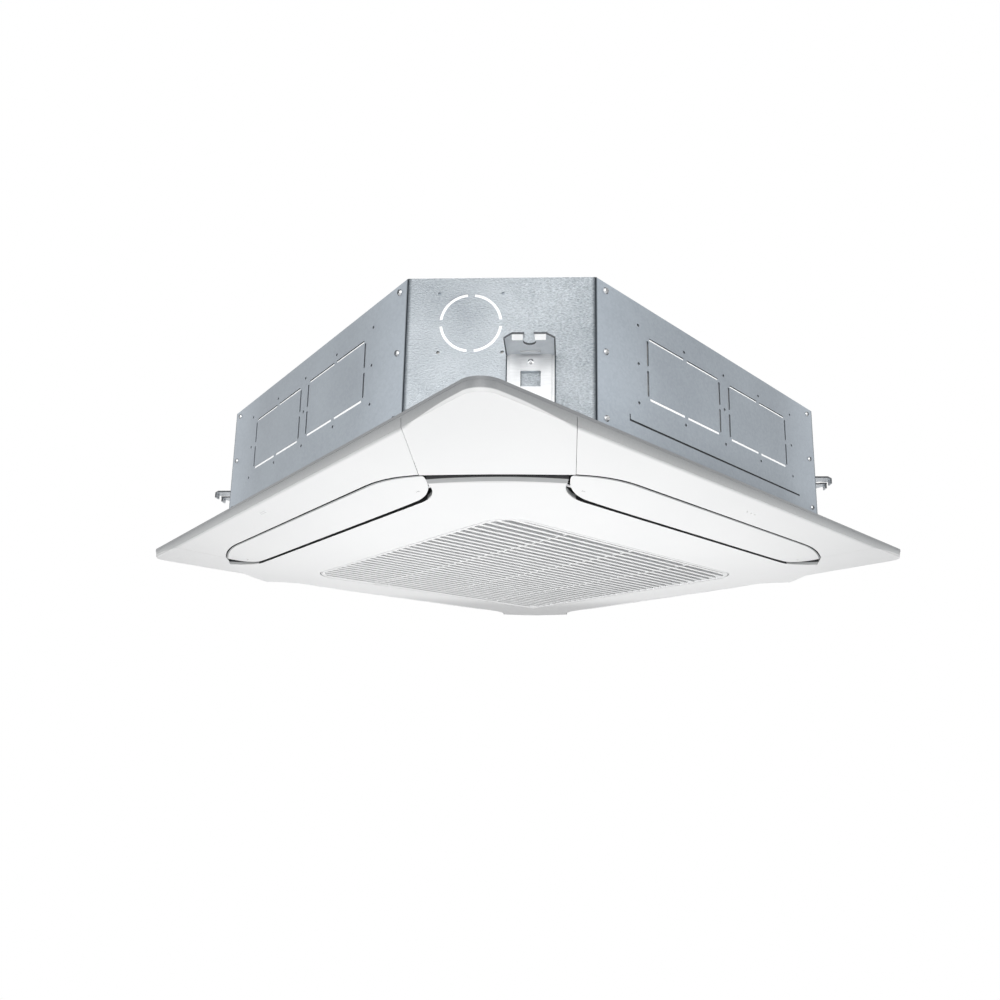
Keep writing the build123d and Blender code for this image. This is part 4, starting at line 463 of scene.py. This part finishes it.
def screw_steel():
    """Bright plated heads with painted shade at their edges."""
    s = Shader("screw_steel")
    grain = s.noise(700.0, 3.0, 0.6)
    # painted shade on faces seen edge on
    edge = s.step(s.flatness(), *SCREW_EDGE)
    colour = s.mix(edge, s.mix(grain, SCREW_STEEL, SCREW_BRIGHT), PAINTED_SHADE_DARK)
    return s.finish(colour, s.between(grain, 0.22, 0.32), s.bump(grain, 0.1, 0.0002), 0.6)


def fins():
    """Stacked thin fins: fine upright lines round the coil, bright edges over painted shade in the
    gaps.
    """
    s = Shader("coil_fins")
    across = s.sum("ADD", s.axis("X"), s.axis("Y"))
    wave = s.sum("SINE", s.sum("MULTIPLY", across, FIN_WAVES))
    part = s.sum("MULTIPLY_ADD", wave, 0.5, 0.5)
    wear = s.noise(40.0, 3.0, 0.5)
    worn = s.sum("MULTIPLY", part, s.sum("MULTIPLY_ADD", wear, 0.4, 0.7))
    # painted shade in the gaps between the fins
    colour = s.mix(worn, FIN_GAP_SHADE, ALUMINIUM)
    return s.finish(colour, 0.42, s.bump(part, 0.5, 0.001), 0.7)


def foam(name, dark, light, bead):
    """Moulded bead foam."""
    s = Shader(name)
    edge = s.cells(bead, "Distance")
    colour = s.ramp(edge, ((0.05, light), (0.75, dark)))
    colour = s.mix(s.noise(9.0, 2.0, 0.5), colour, light)
    return s.finish(colour, 0.85, s.bump(edge, 0.35, 0.0015))


def net():
    """Woven filter net: crossed threads with darker holes between."""
    s = Shader("filter_net")
    waves = [s.sum("ABSOLUTE", s.sum("SINE", s.sum("MULTIPLY", s.axis(name), NET_WAVES)))
             for name in ("X", "Y")]
    thread = s.sum("MAXIMUM", *waves)
    colour = s.ramp(thread, ((0.55, FILTER_DARK), (0.95, FILTER_LIGHT)))
    return s.finish(colour, 0.75, s.bump(thread, 0.4, 0.0006))


def board():
    """Circuit board lacquer with a faint track pattern."""
    s = Shader("circuit_board")
    tracks = s.add("ShaderNodeTexBrick")
    tracks.inputs["Scale"].default_value = 60.0
    s.join(s.place, tracks.inputs["Vector"])
    colour = s.mix(tracks.outputs["Fac"], BOARD_GREEN, BOARD_LIGHT)
    return s.finish(colour, 0.4, s.bump(s.noise(300.0), 0.1, 0.0003), 0.0, 0.3)


def make_materials():
    return {
        "zinc": zinc("zinc_sheet"),
        # the right side panel has painted shade towards its foot
        "zinc_shaded_foot": zinc("zinc_sheet_shaded_foot", foot=0.78),
        "zinc_end": grained("zinc_inner", ZINC_DARK, ZINC_LIGHT, 500.0, 0.40, 0.6),
        "plate": stucco(),
        # painted shadow: near black on the vanes' upright edges and in the pressed groove
        "gap": grained("shadow_gap", GAP_BLACK, GAP_GREY, 500.0, 0.8),
        "gap_walls": gap_walls(),
        "bracket": brushed("bracket_steel", BRACKET_DARK, BRACKET_LIGHT),
        "bracket_under_lit": brushed("bracket_steel_under_lit", BRACKET_UNDER, BRACKET_UNDER_LIGHT),
        "bracket_edge": grained("bracket_edge_painted_shade", BRACKET_EDGE, BRACKET_EDGE_LIGHT,
                                500.0, 0.5, 0.5),
        "slot_foam": grained("slot_foil", SLOT_SHADE, SLOT_WHITE, 500.0, 0.5, 0.75),
        "screw": screw_steel(),
        "panel": panel_plastic("panel_white_plastic"),
        "flap": panel_plastic("flap_white_plastic", flap=True),
        "grille": grained("grille_plastic", PANEL_SHADE, GRILLE_WHITE, 900.0, 0.42),
        "foam": foam("bead_foam", FOAM_LINE, FOAM_WHITE, 260.0),
        "dark_foam": foam("sealing_foam", FOAM_DARK, FOAM_DARK_LIGHT, 500.0),
        "fins": fins(),
        "copper": grained("copper_tube", COPPER_DARK, COPPER, 160.0, 0.30, 0.9),
        "brass": grained("brass_fitting", BRASS_DARK, BRASS, 300.0, 0.30, 0.9),
        "grey": grained("grey_plastic", PLASTIC_GREY, PLASTIC_GREY_LIGHT, 800.0, 0.5),
        "rubber": grained("black_rubber", RUBBER, RUBBER_LIGHT, 600.0, 0.7),
        "motor": grained("motor_can", MOTOR_GREY, MOTOR_LIGHT, 500.0, 0.4, 0.4),
        "board": board(),
        "filter": grained("filter_plastic", FILTER_DARK, FILTER_LIGHT, 700.0, 0.5),
        "net": net(),
        "lens": grained("light_guide", LENS, LENS_LIGHT, 400.0, 0.2, 0.0, 0.4),
        "window": grained("receiver_window", WINDOW_DARK, WINDOW_LIGHT, 400.0, 0.12, 0.0, 0.6),
    }


# First match wins: the start of a node's name, and its material.
FINISHES = (
    ("side_right", "zinc_shaded_foot"), ("side_", "zinc"), ("corner_plate_", "plate"),
    ("casing_top", "zinc"), ("casing_screws", "screw"), ("hanger_rivets", "screw"),
    ("hanger_", "bracket"),
    ("insulation_liner", "foam"), ("drain_pan", "foam"), ("coil_fins", "fins"),
    ("coil_end_plates", "zinc_end"), ("return_bends", "copper"), ("gas_pipe", "copper"),
    ("liquid_pipe", "copper"), ("gas_union", "brass"), ("liquid_union", "brass"),
    ("drain_", "grey"), ("float_", "grey"), ("motor_mount", "zinc_end"),
    ("motor_bushes", "rubber"), ("motor_shaft", "screw"), ("fan_motor", "motor"),
    ("turbo_fan", "grey"), ("fan_nut", "screw"), ("bell_mouth", "grey"),
    ("control_box", "grey"), ("control_cover", "zinc_end"), ("control_board", "board"),
    ("outlet_gasket", "dark_foam"), ("panel_screws", "screw"), ("panel_frame", "panel"),
    ("corner_cover_", "panel"), ("vane_motor_", "motor"), ("vane_", "flap"),
    ("intake_grille", "grille"), ("grille_latch_", "grille"), ("filter_frame", "filter"),
    ("filter_mesh", "net"), ("indicator_bar", "lens"), ("receiver_window", "window"),
)


def dress_nodes(materials):
    for name, node in NODES.items():
        finish = next(value for start, value in FINISHES if name.startswith(start))
        node.data.materials.clear()
        node.data.materials.append(materials[finish])


def mark_faces(name, material, chosen):
    """Gives the faces of a node for which chosen(normal, centre) holds a second finish."""
    mesh = NODES[name].data
    slot = len(mesh.materials)
    mesh.materials.append(material)
    for face in mesh.polygons:
        if chosen(face.normal, face.center):
            face.material_index = slot


def is_upright(normal):
    return abs(normal.z) < UPRIGHT_Z


def in_shadow_gap(normal, centre):
    """Upright walls round the vanes and the corner covers; the latter may lean a little."""
    if abs(normal.z) > LEANING_Z or centre.z > WALLS_TOP:
        return False
    inner, outer = sorted((abs(centre.x), abs(centre.y)))
    by_vane = VANE_WALLS[0] < outer < VANE_WALLS[1] and inner < VANE_WALLS_END
    along = (outer + inner) * HALF_ROOT
    aside = (outer - inner) * HALF_ROOT
    at_cover = COVER_WALLS[0] < along < COVER_WALLS[1] and aside < COVER_WALLS_HALF
    return (by_vane and is_upright(normal)) or at_cover


def on_vane_edge(normal, centre):
    return is_upright(normal)


def under_flange(normal, centre):
    return normal.z < DOWNWARD_Z


def on_bracket_edge(across):
    """Cut edges of a hanger: those that face along the corner plate, and those of the flange."""
    def chosen(normal, centre):
        on_flange = is_upright(normal) and 0.0 < centre.z < FLANGE_SHEET
        return abs(normal.dot(across)) > ENDWAYS or on_flange
    return chosen


def in_pressed_line(normal, centre):
    """The groove pressed along the foot of the right side panel."""
    return (PRESSED_SKIN < CASING_HALF - centre.x < PRESSED_FLOOR
            and PRESSED_LOW < centre.z < PRESSED_HIGH
            and abs(centre.y) < PRESSED_HALF)


def two_tone(materials):
    # painted shadow on the walls round the vanes and the covers
    mark_faces("panel_frame", materials["gap_walls"], in_shadow_gap)
    for name in ("front", "right", "back", "left"):
        # painted shadow on the vanes' upright edge faces
        mark_faces("vane_" + name, materials["gap"], on_vane_edge)
    for name, turn in (("near", 1.0), ("far", 1.0), ("left", -1.0), ("right", -1.0)):
        across = Vector((HALF_ROOT, HALF_ROOT * turn, 0.0))
        # painted light on the flange's downward faces
        mark_faces("hanger_" + name, materials["bracket_under_lit"], under_flange)
        # painted shade on the hanger's edge faces
        mark_faces("hanger_" + name, materials["bracket_edge"], on_bracket_edge(across))
    # painted shade in the groove pressed along the right side panel's foot
    mark_faces("side_right", materials["gap"], in_pressed_line)


# ---------------------------------------------------------------- foil-faced foam in the slots
SLOT_WIDTH = 0.0034
SLOT_SINK = 0.0004              # how far the foam stands back from the sheet's face
FOAM_THICK = 0.0006
SLOT_EASE = 0.0001              # clearance at the slot's edges
KNOCK_NEAR = 0.012              # from the middle of a side to its nearer knock-out edges
KNOCK_WIDTH = 0.158
KNOCK_LOW = CEILING_Z + 0.092   # heights of the lower and upper slots
KNOCK_HIGH = CEILING_Z + 0.172
KNOCK_BRIDGE = 0.007            # width of the tab between two slots
UPPER_SHARE = 0.62              # share of an upper slot's width that shows foam
NEAR_TURN = radians(45.0)       # from the front side to the near corner plate
ROUND_SIDE = -0.035             # middle of the round knock-out on that plate
ROUND_Z = CEILING_Z + 0.156
ROUND_RADIUS = 0.035            # radius of the middle of its slots
ROUND_BRIDGE = 0.008            # width of the tab between two of them
ARC_STEPS = 14
BOX_FACES = ((0, 1, 3, 2), (4, 6, 7, 5), (0, 4, 5, 1), (2, 3, 7, 6), (0, 2, 6, 4), (1, 5, 7, 3))


def add_box(mesh, low, high, turn):
    """A block between two corners of a side that faces -Y, turned from there."""
    corners = []
    for x in (low[0], high[0]):
        for y in (low[1], high[1]):
            for z in (low[2], high[2]):
                corners.append(mesh.verts.new(turn @ Vector((x, y, z))))
    for face in BOX_FACES:
        mesh.faces.new([corners[index] for index in face])


def slot_boxes():
    """Corners of the strips in the lower and upper slots of a side's two knock-outs."""
    front = -CASING_HALF + SLOT_SINK
    half = SLOT_WIDTH / 2 - SLOT_EASE
    bridge = KNOCK_BRIDGE / 2 + SLOT_EASE
    boxes = []
    for start in (-KNOCK_NEAR - KNOCK_WIDTH, KNOCK_NEAR):
        middle = start + KNOCK_WIDTH / 2
        end = start + KNOCK_WIDTH
        for x0, x1 in ((start + bridge, middle - bridge), (middle + bridge, end - bridge)):
            for z, top in ((KNOCK_LOW, half), (KNOCK_HIGH, half * (2 * UPPER_SHARE - 1))):
                boxes.append(((x0, front, z - half), (x1, front + FOAM_THICK, z + top)))
    return boxes


def slot_foam(materials):
    for name, angle in (("front", 0.0), ("right", 90.0), ("back", 180.0), ("left", 270.0)):
        turn = Matrix.Rotation(radians(angle), 3, "Z")
        mesh = bmesh.new()
        for low, high in slot_boxes():
            add_box(mesh, low, high, turn)
        add_piece("slot_foam_" + name, mesh, materials["slot_foam"], "casing")


def round_slot_foam(materials):
    """Four curved strips in the slots of the round knock-out."""
    inner = ROUND_RADIUS - SLOT_WIDTH / 2 + SLOT_EASE
    outer = ROUND_RADIUS + SLOT_WIDTH / 2 - SLOT_EASE
    half = asin((ROUND_BRIDGE / 2 + SLOT_EASE) / ROUND_RADIUS)
    turn = Matrix.Rotation(NEAR_TURN, 3, "Z")
    mesh = bmesh.new()
    for quarter in range(4):
        start = quarter * pi / 2 + half
        sweep = pi / 2 - 2 * half
        rows = []
        for step in range(ARC_STEPS + 1):
            angle = start + sweep * step / ARC_STEPS
            row = []
            for radius in (inner, outer):
                x = ROUND_SIDE + radius * cos(angle)
                z = ROUND_Z + radius * sin(angle)
                for depth in (SLOT_SINK, SLOT_SINK + FOAM_THICK):
                    row.append(mesh.verts.new(turn @ Vector((x, -PLATE_OUT + depth, z))))
            rows.append(row)
        for first, second in zip(rows, rows[1:]):
            for i, j in ((0, 1), (1, 3), (3, 2), (2, 0)):
                mesh.faces.new((first[i], first[j], second[j], second[i]))
        for row in (rows[0], rows[-1]):
            mesh.faces.new((row[0], row[1], row[3], row[2]))
    add_piece("round_slot_foam", mesh, materials["slot_foam"], "casing")


def add_piece(name, mesh, material, body):
    """A new object from a bmesh, riding on a body."""
    bmesh.ops.recalc_face_normals(mesh, faces=mesh.faces)
    data = bpy.data.meshes.new(name)
    mesh.to_mesh(data)
    mesh.free()
    data.materials.append(material)
    piece = bpy.data.objects.new(name, data)
    bpy.context.scene.collection.objects.link(piece)
    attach(piece, body)


# ---------------------------------------------------------------- room
FLOOR_Z = -3.4
ROOM = 30.0
WORLD_LIGHT = 0.20
# Name, place, watts and size of each soft lamp; all aim at the middle of the ceiling plane.
LAMPS = (
    ("key", (1.35, -1.5, 0.08), 13.5, 1.0),
    ("left_soft", (-1.2, -2.6, 0.2), 14.5, 1.3),
    ("right_soft", (2.6, 0.9, 0.2), 16.0, 1.3),
    ("under", (0.24, -0.24, -1.2), 11.7, 0.9),
)


def seen_directly(tree):
    """1 for rays from the camera and for those that metal or glass sends on, 0 for the rest."""
    path = tree.nodes.new("ShaderNodeLightPath")
    seen = path.outputs["Is Camera Ray"]
    for name in ("Is Glossy Ray", "Is Transmission Ray"):
        either = tree.nodes.new("ShaderNodeMath")
        either.operation = "MAXIMUM"
        tree.links.new(seen, either.inputs[0])
        tree.links.new(path.outputs[name], either.inputs[1])
        seen = either.outputs[0]
    return seen


def stage_material():
    """Pale floor that shows as plain white to the camera and in reflections, and keeps shadows."""
    material = bpy.data.materials.new("studio_floor")
    material.use_nodes = True
    tree = material.node_tree
    surface = tree.nodes["Principled BSDF"]
    surface.inputs["Base Color"].default_value = (*FLOOR_WHITE, 1.0)
    surface.inputs["Roughness"].default_value = 0.9
    glow = tree.nodes.new("ShaderNodeEmission")
    glow.inputs["Color"].default_value = PLAIN_WHITE
    seen = seen_directly(tree)
    mix = tree.nodes.new("ShaderNodeMixShader")
    tree.links.new(seen, mix.inputs[0])
    tree.links.new(surface.outputs[0], mix.inputs[1])
    tree.links.new(glow.outputs[0], mix.inputs[2])
    tree.links.new(mix.outputs[0], tree.nodes["Material Output"].inputs["Surface"])
    return material


def build_floor():
    bpy.ops.mesh.primitive_plane_add(size=ROOM, location=(0.0, 0.0, FLOOR_Z))
    floor = bpy.context.object
    floor.name = "studio_floor"
    floor.data.materials.append(stage_material())


def build_world():
    """White to the camera and in reflections, soft grey light on the object."""
    world = bpy.data.worlds.new("studio")
    world.use_nodes = True
    tree = world.node_tree
    back = tree.nodes["Background"]
    back.inputs["Color"].default_value = PLAIN_WHITE
    seen = seen_directly(tree)
    level = tree.nodes.new("ShaderNodeMath")
    level.operation = "MULTIPLY_ADD"
    level.inputs[1].default_value = 1.0 - WORLD_LIGHT
    level.inputs[2].default_value = WORLD_LIGHT
    tree.links.new(seen, level.inputs[0])
    tree.links.new(level.outputs[0], back.inputs["Strength"])
    bpy.context.scene.world = world


def build_lamps():
    target = Vector((0.0, 0.0, CEILING_Z))
    for name, place, watts, size in LAMPS:
        data = bpy.data.lights.new(name, "AREA")
        data.energy = watts
        data.size = size
        lamp = bpy.data.objects.new(name, data)
        lamp.location = place
        lamp.rotation_euler = (target - Vector(place)).to_track_quat("-Z", "Y").to_euler()
        bpy.context.scene.collection.objects.link(lamp)


# ---------------------------------------------------------------- camera
CAMERA_PLACE = (0.935189, -0.827173, -0.298197 + CEILING_Z)
CAMERA_YAW = 0.811
CAMERA_PITCH = 0.175
CAMERA_ROLL = -0.006
FOCAL_SHARE = 0.718404          # focal length over the picture's width
CENTRE_X = 0.548344             # place of the optical axis in the picture
CENTRE_Y = 0.594262
SENSOR = 36.0


def build_camera():
    data = bpy.data.cameras.new("camera")
    data.sensor_width = SENSOR
    data.lens = SENSOR * FOCAL_SHARE
    data.shift_x = 0.5 - CENTRE_X
    data.shift_y = CENTRE_Y - 0.5
    right = Vector((cos(CAMERA_YAW), sin(CAMERA_YAW), 0.0))
    level = cos(CAMERA_PITCH)
    ahead = Vector((-sin(CAMERA_YAW) * level, cos(CAMERA_YAW) * level, sin(CAMERA_PITCH)))
    up = right.cross(ahead)
    turn = Matrix.Rotation(CAMERA_ROLL, 3, ahead)
    right = turn @ right
    up = turn @ up
    axes = Matrix((right, up, -ahead)).transposed().to_4x4()
    camera = bpy.data.objects.new("camera", data)
    camera.matrix_world = Matrix.Translation(CAMERA_PLACE) @ axes
    bpy.context.scene.collection.objects.link(camera)
    bpy.context.scene.camera = camera


bpy.context.scene.view_settings.view_transform = "Standard"
MATERIALS = make_materials()
dress_nodes(MATERIALS)
two_tone(MATERIALS)
slot_foam(MATERIALS)
round_slot_foam(MATERIALS)
build_floor()
build_world()
build_lamps()
build_camera()
